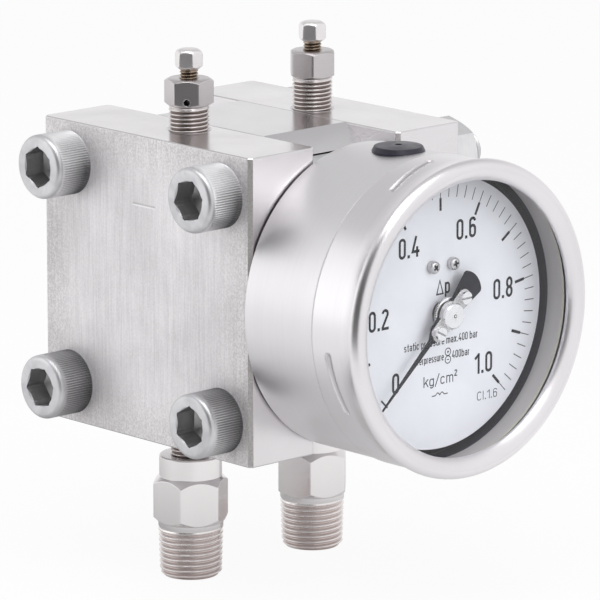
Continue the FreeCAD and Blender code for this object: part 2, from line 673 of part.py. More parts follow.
def drawn_case():
    """Drawn cup with a rounded back edge, necked under the ring, with a notched bead at its mouth."""
    edge = CASE_EDGE
    outer = CASE_RADIUS
    inner = outer - CASE_WALL
    corner = (outer - edge, CASE_BACK - edge)
    groove_back = GROOVE_FRONT + GROOVE_WIDTH
    inner_step = CASE_STEP + CASE_WALL
    profile = [(0, CASE_BACK), (outer - edge, CASE_BACK),
               bend(corner, (outer - edge, CASE_BACK), (outer, corner[1])),
               (outer, CASE_STEP), (FRONT_DRUM, CASE_STEP), (FRONT_DRUM, groove_back),
               (GROOVE_RADIUS, groove_back), (GROOVE_RADIUS, GROOVE_FRONT), (FRONT_DRUM, GROOVE_FRONT),
               (FRONT_DRUM, CASE_FRONT), (FRONT_DRUM_BORE, CASE_FRONT), (FRONT_DRUM_BORE, inner_step),
               (inner, inner_step), (inner, corner[1]),
               bend(corner, (inner, corner[1]), (corner[0], CASE_FLOOR)), (0, CASE_FLOOR)]
    cup = turned(profile, at(0, 0, 0), Y_AXIS)
    cuts = [rod(CASE_SCREW_DIA + 2 * SLOT_PLAY, at(x, CASE_BACK, z), at(x, CASE_FLOOR, z))
            for x, z in case_screw_places()]
    cuts.append(rod(TUBE_DIA, at(0, CASE_BACK, -LEVER_DROP), at(0, CASE_FLOOR, -LEVER_DROP)))
    plug = CASE_BACK - PLUG_SETBACK
    cuts.append(rod(PLUG_STEM_DIA + 2 * SLOT_PLAY, at(0, plug, 0), at(0, plug, outer + 1)))
    notch = [(GROOVE_RADIUS, CASE_FRONT), (FRONT_DRUM + 1, CASE_FRONT), (FRONT_DRUM + 1, GROOVE_FRONT),
             (GROOVE_RADIUS, GROOVE_FRONT)]
    for angle in bayonet_angles():
        start = angle - RING_TURN - DIMPLE_SPAN / 2 - 2
        piece = turned(notch, at(0, 0, 0), Y_AXIS, DIMPLE_SPAN + 4)
        cuts.append(piece.rotate(at(0, 0, 0), Y_AXIS, start - 90))
    return cup.cut(cuts)


def ring_dimple(radius, section, angle):
    """Bar with ball ends that lies on the ring's drum along a slight ramp, for one pressed dimple."""
    middle = GROOVE_FRONT + GROOVE_WIDTH / 2
    place = at(radius, middle, 0)
    face = Part.Face(Part.Wire(Part.makeCircle(section, place, Z_AXIS)))
    bar = upright(face.revolve(at(0, middle, 0), Y_AXIS, DIMPLE_SPAN))
    turn = math.radians(DIMPLE_SPAN)
    other = at(radius * math.cos(turn), middle, -radius * math.sin(turn))
    bar = bar.multiFuse([Part.makeSphere(section, place), Part.makeSphere(section, other)])
    bar.rotate(at(0, 0, 0), Y_AXIS, angle - DIMPLE_SPAN / 2 - 90)
    x, z = clock(1, angle)
    bar.rotate(at(0, middle, 0), V(x, 0, z), DIMPLE_RAMP)
    return bar


def bayonet_ring():
    """Ring with a plain skirt, a rolled rim, a dished lip and ramped dimples pressed into the skirt."""
    lip = RING_BORE - RING_LIP_WIDTH
    seat = WINDOW_FRONT - SLOT_PLAY / 2
    crest = seat - RING_RIM_DEPTH
    rim = RING_RADIUS + RING_RIM_OUT
    waist = CASE_FRONT
    shoulder = seat - RING_RIM_DEPTH * 0.15
    profile = [(RING_BORE, CASE_STEP - RING_REAR_GAP), (RING_RADIUS, CASE_STEP - RING_REAR_GAP),
               (RING_RADIUS, waist), ((RING_RADIUS + RING_RIM_OUT * 0.3, (waist + shoulder) / 2), (rim, shoulder)),
               ((rim - 0.9, crest + 1.0), (rim - 3.0, crest)),
               ((RING_BORE - RING_LIP_WIDTH * 0.6, crest + 0.8), (lip, seat - RING_LIP_THICK)),
               (lip, seat), (RING_BORE, seat)]
    ring = turned(profile, at(0, 0, 0), Y_AXIS)
    hollow = RING_RADIUS - DIMPLE_DEPTH + DIMPLE_ROUND
    lug = RING_BORE - DIMPLE_DEPTH + DIMPLE_ROUND - RING_THICK / 4
    lugs = [ring_dimple(lug, DIMPLE_ROUND - RING_THICK / 4, angle) for angle in bayonet_angles()]
    hollows = [ring_dimple(hollow, DIMPLE_ROUND, angle) for angle in bayonet_angles()]
    return ring.multiFuse(lugs).cut(hollows).removeSplitter()


def window():
    """Round safety window held between the gasket and the ring's lip."""
    edge = 0.4
    profile = [(0, WINDOW_BACK), (WINDOW_RADIUS, WINDOW_BACK), (WINDOW_RADIUS, WINDOW_FRONT + edge),
               (WINDOW_RADIUS - edge, WINDOW_FRONT), (0, WINDOW_FRONT)]
    return turned(profile, at(0, 0, 0), Y_AXIS)


def window_gasket():
    """Flat gasket between the case's mouth and the window."""
    bore = 2 * (WINDOW_RADIUS - GASKET_WIDTH)
    return tube(2 * WINDOW_RADIUS, bore, at(0, CASE_FRONT, 0), at(0, WINDOW_BACK, 0))


def blowout_plug():
    """Rubber plug that grips the edge of a hole in the top of the case."""
    y = CASE_BACK - PLUG_SETBACK
    outside = CASE_RADIUS + RUNNING_PLAY
    inside = CASE_RADIUS - CASE_WALL - RUNNING_PLAY
    top = CASE_RADIUS + PLUG_HEIGHT
    flange = PLUG_DIA / 2
    low = inside - PLUG_LIP - 2
    rim = flange - PLUG_TAPER
    cap = turned([(0, inside), (flange, inside), (flange, CASE_RADIUS), (rim, top - 0.5),
                  (rim - 0.2, top - 0.35), ((rim * 0.7, top - 0.15), (0, top))], at(0, y, 0), Z_AXIS)
    cap = cap.cut(rod(2 * outside, at(0, y - PLUG_DIA, 0), at(0, y + PLUG_DIA, 0)))
    stem = rod(PLUG_STEM_DIA, at(0, y, inside - PLUG_LIP), at(0, y, CASE_RADIUS + 0.5))
    lip = rod(PLUG_DIA - 1, at(0, y, low), at(0, y, inside + 1))
    lip = lip.common(rod(2 * inside, at(0, y - PLUG_DIA, 0), at(0, y + PLUG_DIA, 0)))
    dimple = rod(PLUG_DIMPLE_DIA, at(0, y, top - 1.0), at(0, y, top + 1))
    return union(cap, stem, lip).cut(dimple)


def dial_screw_places():
    """Places of the two screws above the dial's centre."""
    return [(sign * DIAL_SCREW_PITCH / 2, DIAL_SCREW_HEIGHT) for sign in (-1, 1)]


def dial():
    """Dial disc with a centre hole and two screw holes."""
    disc = tube(2 * DIAL_RADIUS, DIAL_HOLE_DIA, at(0, DIAL_BACK, 0), at(0, DIAL_FRONT, 0))
    bore = DIAL_SCREW_DIA + 2 * SLOT_PLAY
    return disc.cut([rod(bore, at(x, DIAL_BACK, z), at(x, DIAL_FRONT, z)) for x, z in dial_screw_places()])


def dial_post(x, z):
    """Threaded post between the movement's front plate and the dial."""
    post = rod(DIAL_POST_DIA, at(x, FRONT_PLATE_FRONT, z), at(x, DIAL_BACK, z))
    depth = DIAL_SCREW_LENGTH
    return post.cut(rod(DIAL_SCREW_DIA + 2 * THREAD_PLAY, at(x, DIAL_BACK, z), at(x, DIAL_BACK + depth, z)))


def headed_screw(x, z, seat, head_dia, head_height, shank_dia, shank_length):
    """Screw whose pan head faces the viewer."""
    head = head_dia / 2
    edge = head_height / 2
    dome = [(0, 0), (head, 0), (head, head_height - edge), ((head * 0.86, head_height * 0.86), (head / 2, head_height)),
            (0, head_height)]
    cap = turned(dome, at(x, seat, z), -Y_AXIS)
    return union(cap, rod(shank_dia, at(x, seat, z), at(x, seat + shank_length, z)))


def dial_screw(x, z):
    """Pan-head screw through the dial into its post."""
    return headed_screw(x, z, DIAL_FRONT, DIAL_SCREW_HEAD_DIA, DIAL_SCREW_HEAD_HEIGHT, DIAL_SCREW_DIA,
                        DIAL_SCREW_LENGTH)


def along_pointer(shape):
    """Turn a shape drawn upwards from the dial's centre to the pointer's rest angle."""
    return shape.rotate(at(0, 0, 0), Y_AXIS, POINTER_START)


def pointer_blade():
    """Tapered blade with a fan-shaped counterweight, clamped under the carrier."""
    tip = POINTER_TIP_WIDTH / 2
    root = POINTER_ROOT_WIDTH / 2
    waist = CARRIER_WIDTH / 2 + 0.4
    fan = POINTER_TAIL_WIDTH / 2
    swell = POINTER_TAIL - POINTER_TAIL_BULGE
    hub = HUB_DIA / 2
    right = [(tip, POINTER_REACH), (root, POINTER_ROOT + 1.5), (waist, POINTER_ROOT - 2), (waist, hub), (waist, -hub)]
    fan_edge = [(fan, -swell), ((0, -POINTER_TAIL), (-fan, -swell))]
    left = [(-x, z) for x, z in reversed(right)]
    blade = flat_piece(right + fan_edge + left, POINTER_BACK, POINTER_FRONT)
    corners = [edge for edge in blade.Edges if edge.BoundBox.ZMax < CELL_Z - swell + 0.1
               and edge.BoundBox.XLength + edge.BoundBox.ZLength < 0.1]
    blade = blade.makeFillet(POINTER_TAIL_ROUND, corners)
    bore = rod(ARBOR_DIA + 2 * SEAT_PLAY, at(0, POINTER_BACK, 0), at(0, POINTER_FRONT, 0))
    return along_pointer(blade.cut(bore))


def pointer_carrier():
    """Narrow plate with round ends that carries the hub and the two screws."""
    half = CARRIER_WIDTH / 2
    top = POINTER_SCREW_PLACES[0]
    low = POINTER_SCREW_PLACES[1]
    points = [(half, top), ((0, top + half), (-half, top)), (-half, low), ((0, low - half), (half, low))]
    plate = flat_piece(points, POINTER_FRONT, CARRIER_FRONT)
    flange = rod(HUB_DIA + 2 * HUB_FLANGE_WIDTH, at(0, POINTER_FRONT, 0), at(0, CARRIER_FRONT, 0))
    bore = rod(ARBOR_DIA + 2 * SEAT_PLAY, at(0, POINTER_FRONT, 0), at(0, CARRIER_FRONT, 0))
    return along_pointer(union(plate, flange).cut(bore))


def pointer_hub():
    """Turned hub pressed on the pinion's arbor."""
    radius = HUB_DIA / 2
    bore = ARBOR_DIA / 2 + SEAT_PLAY
    edge = 0.4
    profile = [(bore, CARRIER_FRONT), (radius, CARRIER_FRONT), (radius, HUB_FRONT + edge),
               (radius - edge, HUB_FRONT), (bore, HUB_FRONT)]
    return turned(profile, at(0, 0, 0), Y_AXIS)


def pointer_screw(place, turn):
    """Slotted screw head on the carrier, its slot turned from the blade's crossways direction."""
    top = CARRIER_FRONT - POINTER_SCREW_HEIGHT
    head = rod(POINTER_SCREW_DIA, at(0, CARRIER_FRONT, place), at(0, top, place))
    slot = Part.makeBox(POINTER_SCREW_DIA, 0.4, 0.6, at(-POINTER_SCREW_DIA / 2, top, place - 0.3))
    slot = slot.rotate(at(0, top, place), Y_AXIS, turn)
    return along_pointer(head.cut(slot))


def movement_plate(back, front):
    """Rectangular movement plate with rounded corners, pierced for the two arbors."""
    round_off = MOVEMENT_CORNER
    blank = Part.makeBox(MOVEMENT_RIGHT - MOVEMENT_LEFT, back - front, MOVEMENT_TOP - MOVEMENT_BOTTOM,
                         at(MOVEMENT_LEFT, front, MOVEMENT_BOTTOM))
    corners = [edge for edge in blank.Edges if abs(edge.tangentAt(edge.FirstParameter).y) > 0.5]
    blank = blank.makeFillet(round_off, corners)
    pinion_hole = rod(ARBOR_DIA + 2 * RUNNING_PLAY, at(0, back, 0), at(0, front, 0))
    sector_hole = rod(SECTOR_ARBOR_DIA + 2 * RUNNING_PLAY, at(SECTOR_X, back, SECTOR_Z), at(SECTOR_X, front, SECTOR_Z))
    return blank.cut([pinion_hole, sector_hole])


def screw_holes(places, back, front):
    """Clearance holes for the movement's screws."""
    bore = MOVEMENT_SCREW_DIA + 2 * SLOT_PLAY
    return [rod(bore, at(x, back, z), at(x, front, z)) for x, z in places]


def threaded_post(x, z, diameter, back, front):
    """Round spacer with a threaded hole in its front end."""
    hole = rod(MOVEMENT_SCREW_DIA + 2 * THREAD_PLAY, at(x, front, z), at(x, front + MOVEMENT_SCREW_LENGTH, z))
    return rod(diameter, at(x, back, z), at(x, front, z)).cut(hole)


def movement_screw(x, z, seat):
    """Screw that holds a movement plate to the spacer behind it."""
    return headed_screw(x, z, seat, MOVEMENT_SCREW_HEAD_DIA, MOVEMENT_SCREW_HEAD_HEIGHT, MOVEMENT_SCREW_DIA,
                        MOVEMENT_SCREW_LENGTH)


def tooth(teeth, middle):
    """One involute tooth's corners, in polar form from one root to the other, as (radius, angle)."""
    pitch = GEAR_MODULE * teeth / 2
    base = pitch * math.cos(math.radians(PRESSURE_ANGLE))
    root = pitch - GEAR_DEDENDUM * GEAR_MODULE
    tip = pitch + GEAR_ADDENDUM * GEAR_MODULE
    half = math.pi / (2 * teeth) - GEAR_BACKLASH / (2 * pitch)

    def involute(radius):
        lean = math.acos(min(1.0, base / radius))
        return math.tan(lean) - lean

    flank = []
    for share in (0.0, 0.45, 0.75, 1.0):
        radius = root + (tip - root) * share
        flank.append((radius, half + involute(pitch) - involute(max(radius, base))))
    centre = math.radians(middle)
    rising = [(radius, centre - lean) for radius, lean in flank]
    falling = [(radius, centre + lean) for radius, lean in reversed(flank)]
    return rising + falling


def polar(points, x, z):
    """Polar points about a centre, as places in the dial's plane."""
    return [(x + radius * math.cos(angle), z + radius * math.sin(angle)) for radius, angle in points]


def pinion():
    """Pinion cut on the pointer's arbor, with a collet for the hairspring."""
    pitch = 360.0 / PINION_TEETH
    points = []
    for step in range(PINION_TEETH):
        points += tooth(PINION_TEETH, MESH_ANGLE + 180 + pitch * (step + 0.5))
    gear = flat_piece(polar(points, 0, 0), PINION_BACK, PINION_FRONT)
    arbor = rod(ARBOR_DIA, at(0, BACK_PLATE, 0), at(0, HUB_FRONT, 0))
    collet = rod(COLLET_DIA, at(0, SPRING_BACK, 0), at(0, SPRING_FRONT, 0))
    return union(arbor, gear, collet)


def sector_gear():
    """Toothed sector with a lightening window, on its own arbor."""
    pitch = 360.0 / SECTOR_FULL_TEETH
    first = -math.ceil(SECTOR_SWEEP / pitch) - SECTOR_SPARE_TEETH
    points = []
    for step in range(first, SECTOR_SPARE_TEETH + 1):
        points += tooth(SECTOR_FULL_TEETH, MESH_ANGLE + pitch * step)
    rim = points[0][0]
    start = points[0][1]
    end = points[-1][1]
    back = SECTOR_BACK
    front = back - SECTOR_THICK
    blade = flat_piece([(SECTOR_X, SECTOR_Z)] + polar(points, SECTOR_X, SECTOR_Z), back, front)
    inset = math.radians(9)
    low = SECTOR_HUB_DIA / 2 + 2
    high = rim - 3
    corners = [(low, start + inset), (high, start + inset / 2), (high, end - inset / 2), (low, end - inset)]
    near, far_start, far_end, near_end = polar(corners, SECTOR_X, SECTOR_Z)
    far = bend((SECTOR_X, SECTOR_Z), far_start, far_end)
    light = flat_piece([near, far_start, far, near_end], back, front)
    hub = rod(SECTOR_HUB_DIA, at(SECTOR_X, back, SECTOR_Z), at(SECTOR_X, front, SECTOR_Z))
    arbor = rod(SECTOR_ARBOR_DIA, at(SECTOR_X, CRANK_BACK, SECTOR_Z), at(SECTOR_X, FRONT_PLATE_FRONT, SECTOR_Z))
    return union(blade.cut(light), hub, arbor)


def bar_between(first, first_dia, second, second_dia, back, front):
    """Flat bar with round ends of two sizes, tapered between them."""
    run = math.dist(first, second)
    lean = math.asin((first_dia - second_dia) / 2 / run)
    heading = math.atan2(second[1] - first[1], second[0] - first[0])
    sides = []
    for sign in (-1, 1):
        angle = heading + sign * (math.pi / 2 - lean)
        for place, size in ((first, first_dia), (second, second_dia)):
            sides.append((place[0] + size / 2 * math.cos(angle), place[1] + size / 2 * math.sin(angle)))
    low_first, low_second, high_first, high_second = sides
    web = flat_piece([low_first, low_second, high_second, high_first], back, front)
    ends = [rod(size, at(place[0], back, place[1]), at(place[0], front, place[1]))
            for place, size in ((first, first_dia), (second, second_dia))]
    return union(web, *ends)


def drive_arm():
    """Arm on the lever shaft, with the pin that carries the link."""
    hub = (0, -LEVER_DROP)
    end = (-ARM_LENGTH, -LEVER_DROP)
    arm = bar_between(hub, ARM_HUB_DIA, end, ARM_END_DIA, ARM_BACK, ARM_FRONT)
    arm = arm.cut(rod(SHAFT_DIA + 2 * SEAT_PLAY, at(hub[0], ARM_BACK, hub[1]), at(hub[0], ARM_FRONT, hub[1])))
    return union(arm, rod(LINK_PIN_DIA, at(end[0], ARM_FRONT, end[1]), at(end[0], LINK_FRONT - LINK_GAP / 2, end[1])))


def sector_crank():
    """Short crank on the sector's arbor, with the pin that the link pulls."""
    hub = (SECTOR_X, SECTOR_Z)
    end = (CRANK_PIN_X, CRANK_PIN_Z)
    crank = bar_between(hub, SECTOR_ARBOR_DIA + 3, end, LINK_PIN_DIA + 1.8, CRANK_BACK, CRANK_FRONT)
    bore = SECTOR_ARBOR_DIA + 2 * SEAT_PLAY
    crank = crank.cut(rod(bore, at(hub[0], CRANK_BACK, hub[1]), at(hub[0], CRANK_FRONT, hub[1])))
    return union(crank, rod(LINK_PIN_DIA, at(end[0], CRANK_BACK, end[1]), at(end[0], LINK_BACK + LINK_GAP / 2, end[1])))


def drive_link():
    """Link from the drive arm up to the crank, with a wider eye at the crank."""
    low = (-ARM_LENGTH, -LEVER_DROP)
    high = (CRANK_PIN_X, CRANK_PIN_Z)
    bar = bar_between(low, LINK_WIDTH, high, LINK_WIDTH, LINK_BACK, LINK_FRONT)
    eyes = []
    holes = []
    for (x, z), play in ((low, RUNNING_PLAY), (high, LINK_OPEN_PLAY)):
        eyes.append(rod(LINK_EYE_DIA, at(x, LINK_BACK, z), at(x, LINK_FRONT, z)))
        holes.append(rod(LINK_PIN_DIA + 2 * play, at(x, LINK_BACK, z), at(x, LINK_FRONT, z)))
    return union(bar, *eyes).cut(holes)


def spring_arcs(offset):
    """Half circles of the hairspring's spiral, moved out by an offset, as (start, middle, end)."""
    arcs = []
    for step in range(SPRING_HALF_TURNS):
        radius = SPRING_START_RADIUS + step * SPRING_PITCH / 2 + offset
        centre = (step % 2) * SPRING_PITCH / 2
        side = 1 if step % 2 == 0 else -1
        arcs.append(((centre + side * radius, 0), (centre, side * radius), (centre - side * radius, 0)))
    return arcs


def hairspring():
    """Flat spiral strip between the collet and its stud."""
    inner = spring_arcs(0)
    outer = spring_arcs(SPRING_STRIP)
    points = [inner[0][0]] + [(middle, end) for start, middle, end in inner] + [outer[-1][2]]
    points += [(middle, start) for start, middle, end in reversed(outer)]
    return flat_piece(points, SPRING_BACK, SPRING_FRONT)


def hairspring_stud():
    """Pin on the front plate that holds the hairspring's outer end."""
    start, middle, end = spring_arcs(SPRING_STRIP)[-1]
    x = end[0] + math.copysign(STUD_DIA / 2, end[0])
    return rod(STUD_DIA, at(x, FRONT_PLATE, end[1]), at(x, SPRING_BACK, end[1]))


def save_cell():
    """Plates, cell body, bolts and what the cell holds."""
    for side in SIDES:
        save(f"{side}_side_plate", side_plate(side))
        save(f"{side}_side_diaphragm", diaphragm(side))
        save(f"{side}_side_seal", chamber_seal(side))
        save(f"{side}_side_adapter", process_adapter(side))
        save(f"{side}_vent_body", vent_body(side))
        save(f"{side}_vent_tip", vent_tip(side))
        save(f"{side}_vent_screw", vent_screw(side))
    save("cell_body", cell_body())
    bolts = [clamp_bolt(y, z, angle) for (y, z), angle in zip(BOLT_PLACES, BOLT_SOCKET_ANGLES)]
    save("clamp_bolts", *bolts)
    save("clamp_nuts", *[clamp_nut(y, z) for y, z in BOLT_PLACES])
    save("diaphragm_rod", diaphragm_rod())
    save("rod_clamp_discs", rod_clamp_disc(-1), rod_clamp_disc(1))
    save("rod_nuts", rod_nut(-1), rod_nut(1))
    save("transmission_lever", transmission_lever())
    save("lever_shaft", lever_shaft())
    save("torque_tube", torque_tube())


def save_case():
    """Case, its fixing, the ring, the window and the dial."""
    save("case_pad", case_pad())
    save("case", drawn_case())
    save("case_screws", *[case_screw(x, z) for x, z in case_screw_places()])
    save("bayonet_ring", bayonet_ring())
    save("window", window())
    save("window_gasket", window_gasket())
    save("blowout_plug", blowout_plug())
    save("dial", dial())
    save("dial_posts", *[dial_post(x, z) for x, z in dial_screw_places()])
    save("dial_screws", *[dial_screw(x, z) for x, z in dial_screw_places()])


def save_movement():
    """Movement, link and pointer."""
    back_plate = movement_plate(BACK_PLATE, BACK_PLATE_FRONT)
    front_plate = movement_plate(FRONT_PLATE, FRONT_PLATE_FRONT)
    save("movement_back_plate", back_plate.cut(screw_holes(POST_PLACES, BACK_PLATE, BACK_PLATE_FRONT)))
    save("movement_front_plate", front_plate.cut(screw_holes(PILLAR_PLACES, FRONT_PLATE, FRONT_PLATE_FRONT)))
    save("movement_posts", *[threaded_post(x, z, POST_DIA, CASE_FLOOR, BACK_PLATE) for x, z in POST_PLACES])
    save("movement_pillars",
         *[threaded_post(x, z, PILLAR_DIA, BACK_PLATE_FRONT, FRONT_PLATE) for x, z in PILLAR_PLACES])
    screws = [movement_screw(x, z, BACK_PLATE_FRONT) for x, z in POST_PLACES]
    screws += [movement_screw(x, z, FRONT_PLATE_FRONT) for x, z in PILLAR_PLACES]
    save("movement_screws", *screws)
    save("pinion", pinion())
    save("sector_gear", sector_gear())
    save("sector_crank", sector_crank())
    save("drive_arm", drive_arm())
    save("drive_link", drive_link())
    save("hairspring", hairspring())
    save("hairspring_stud", hairspring_stud())
    save("pointer_blade", pointer_blade())
    save("pointer_carrier", pointer_carrier())
    save("pointer_hub", pointer_hub())
    save("pointer_screws", *[pointer_screw(*each) for each in zip(POINTER_SCREW_PLACES, POINTER_SCREW_TURNS)])


os.makedirs("parts", exist_ok=True)
save_cell()
save_case()
save_movement()
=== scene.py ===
"""Differential pressure gauge: finishes, threads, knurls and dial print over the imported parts."""

import json
import logging
import math
from collections.abc import Callable, Iterable, Sequence
from dataclasses import dataclass, field, replace
from enum import Enum

import bmesh
import bpy
from mathutils import Matrix, Vector


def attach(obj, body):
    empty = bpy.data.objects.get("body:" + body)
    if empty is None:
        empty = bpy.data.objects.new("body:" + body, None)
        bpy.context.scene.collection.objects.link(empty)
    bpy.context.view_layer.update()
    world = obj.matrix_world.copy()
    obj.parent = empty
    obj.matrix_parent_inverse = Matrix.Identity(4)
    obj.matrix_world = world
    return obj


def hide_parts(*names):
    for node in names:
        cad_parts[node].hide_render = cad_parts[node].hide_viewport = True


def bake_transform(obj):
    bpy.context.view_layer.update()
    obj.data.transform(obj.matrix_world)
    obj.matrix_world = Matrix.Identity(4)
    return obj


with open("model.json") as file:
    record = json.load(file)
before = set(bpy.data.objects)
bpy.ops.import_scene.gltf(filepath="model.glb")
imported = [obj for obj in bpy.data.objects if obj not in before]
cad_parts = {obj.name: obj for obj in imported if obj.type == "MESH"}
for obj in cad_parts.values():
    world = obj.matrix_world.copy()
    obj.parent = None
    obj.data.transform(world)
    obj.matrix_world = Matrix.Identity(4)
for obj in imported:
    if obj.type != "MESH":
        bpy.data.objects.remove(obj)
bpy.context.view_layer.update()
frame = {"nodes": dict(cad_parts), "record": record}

Triple = tuple[float, float, float]
Colour = Triple
Pair = tuple[float, float]
Mesh = bpy.types.Mesh
Socket = bpy.types.NodeSocket
Sockets = dict[str, Socket]

LOG = logging.getLogger("gauge")
MM = 0.001
CELL_Z = 97.7
PLATE_OUTER = 46.0
BOLT_PITCH = 73.0
PORT_X = 27.0
SIDE_SIGN = {"low": -1.0, "high": 1.0}
UNIT: Pair = (0.0, 1.0)
FALL: Pair = (1.0, 0.0)
RELIEF = 0.0001
# Tone of the painted shade in recesses.
RECESS_SHADE: Colour = (0.05, 0.045, 0.048)
# Tone of soiling and painted shade at a bolt head's foot.
GREASE_AND_SHADE: Colour = (0.05, 0.048, 0.05)
SHARP = math.radians(36)
ROUND_STEPS = 6


class Coat(Enum):
    """Which of a piece's finishes a face takes."""

    MAIN = 0
    SECOND = 1
    THIRD = 2


class Face(Enum):
    """The way a flat face of the square cell looks."""

    SIDE = 0
    FRONT = 1
    TOP = 2


class Axis(Enum):
    """The line that a finish's turning marks run round."""

    DIAL = "dial"
    PORT = "port"
    BOLT = "bolt"


# Node trees


class Tree:
    """Adds and links nodes in one shader tree.

    Args:
        tree: The node tree to fill.
    """

    def __init__(self, tree: bpy.types.NodeTree) -> None:
        """Keep the tree."""
        self.tree = tree

    @classmethod
    def cleared(cls, owner: bpy.types.Material | bpy.types.World) -> "Tree":
        """The emptied tree of a material or a world.

        Args:
            owner: The material or world.

        Returns:
            The tree's helper.
        """
        owner.use_nodes = True
        owner.node_tree.nodes.clear()
        return cls(owner.node_tree)

    def add(self, kind: str, inputs: dict | None = None, **settings: object) -> bpy.types.Node:
        """Add one shader node, set its properties and fill or link its inputs.

        Args:
            kind: The node's type name, without ShaderNode before it.
            inputs: Values or sockets by input name or number. A colour may leave out its alpha.
            settings: Properties of the node itself.

        Returns:
            The new node.
        """
        node = self.tree.nodes.new(f"ShaderNode{kind}")
        for name, value in settings.items():
            setattr(node, name, value)
        for key, value in (inputs or {}).items():
            socket = node.inputs[key]
            if isinstance(value, Socket):
                self.tree.links.new(value, socket)
            else:
                socket.default_value = (*value, 1.0) if socket.type == "RGBA" else value
        return node

    def effect(self, group: bpy.types.NodeTree, **inputs: object) -> Sockets:
        """Place a shared effect and give its outputs by name."""
        return {item.name: item for item in self.add("Group", inputs, node_tree=group).outputs}

    def math(self, operation: str, first: object, second: object = 0.0) -> Socket:
        """One Math node's result."""
        return self.add("Math", {0: first, 1: second}, operation=operation).outputs[0]

    def times(self, first: object, *factors: object) -> Socket:
        """The product of several values.

        Args:
            first: One value.
            factors: The others.

        Returns:
            The product's socket.
        """
        for factor in factors:
            first = self.math("MULTIPLY", first, factor)
        return first

    def weigh(self, *parts: tuple[Socket, float]) -> Socket:
        """The sum of several values, each with its weight.

        Args:
            parts: Values with their weights.

        Returns:
            The sum's socket.
        """
        total, *others = [self.times(*part) for part in parts]
        for other in others:
            total = self.math("ADD", total, other)
        return total

    def rest(self, value: Socket) -> Socket:
        """What a share leaves of one."""
        return self.math("SUBTRACT", 1.0, value)

    def vector(self, operation: str, first: object, second: object = (0, 0, 0)) -> Socket:
        """One Vector Math node's vector result."""
        return self.add("VectorMath", {0: first, 1: second}, operation=operation).outputs[0]

    def length(self, value: Socket) -> Socket:
        """A vector's length."""
        return self.add("VectorMath", {0: value}, operation="LENGTH").outputs["Value"]

    def split(self, value: Socket) -> Sequence[Socket]:
        """A vector's three parts."""
        return tuple(self.add("SeparateXYZ", {0: value}).outputs)

    def join(self, *parts: Socket) -> Socket:
        """A vector from its parts."""
        return self.add("CombineXYZ", dict(enumerate(parts))).outputs[0]

    def span(self, value: object, source: Pair, target: Pair = UNIT, smooth: bool = False) -> Socket:
        """Carry a value from one range to another, held at its ends.

        Args:
            value: The socket to carry over.
            source: Where the value starts and ends.
            target: What these ends become.
            smooth: Whether the change eases in and out.

        Returns:
            The new value's socket.
        """
        node = self.add("MapRange", {"Value": value, "From Min": source[0], "From Max": source[1],
                                     "To Min": target[0], "To Max": target[1]})
        node.interpolation_type = "SMOOTHSTEP" if smooth else "LINEAR"
        return node.outputs["Result"]

    def reach(self, value: Socket, source: Pair, target: Pair = UNIT, smooth: bool = False) -> Socket:
        """Do as span does for a length whose range is given in millimetres."""
        return self.span(value, (source[0] * MM, source[1] * MM), target, smooth)

    def pick(self, factor: Socket, first: Socket, second: Socket) -> Socket:
        """Mix two values by the share of the second."""
        return self.add("Mix", {0: factor, 2: first, 3: second}).outputs[0]

    def blend(self, factor: Socket, first: object, second: object) -> Socket:
        """Mix two colours, given as sockets or as red, green and blue, by the share of the second."""
        return self.add("Mix", {0: factor, 6: first, 7: second}, data_type="RGBA").outputs[2]


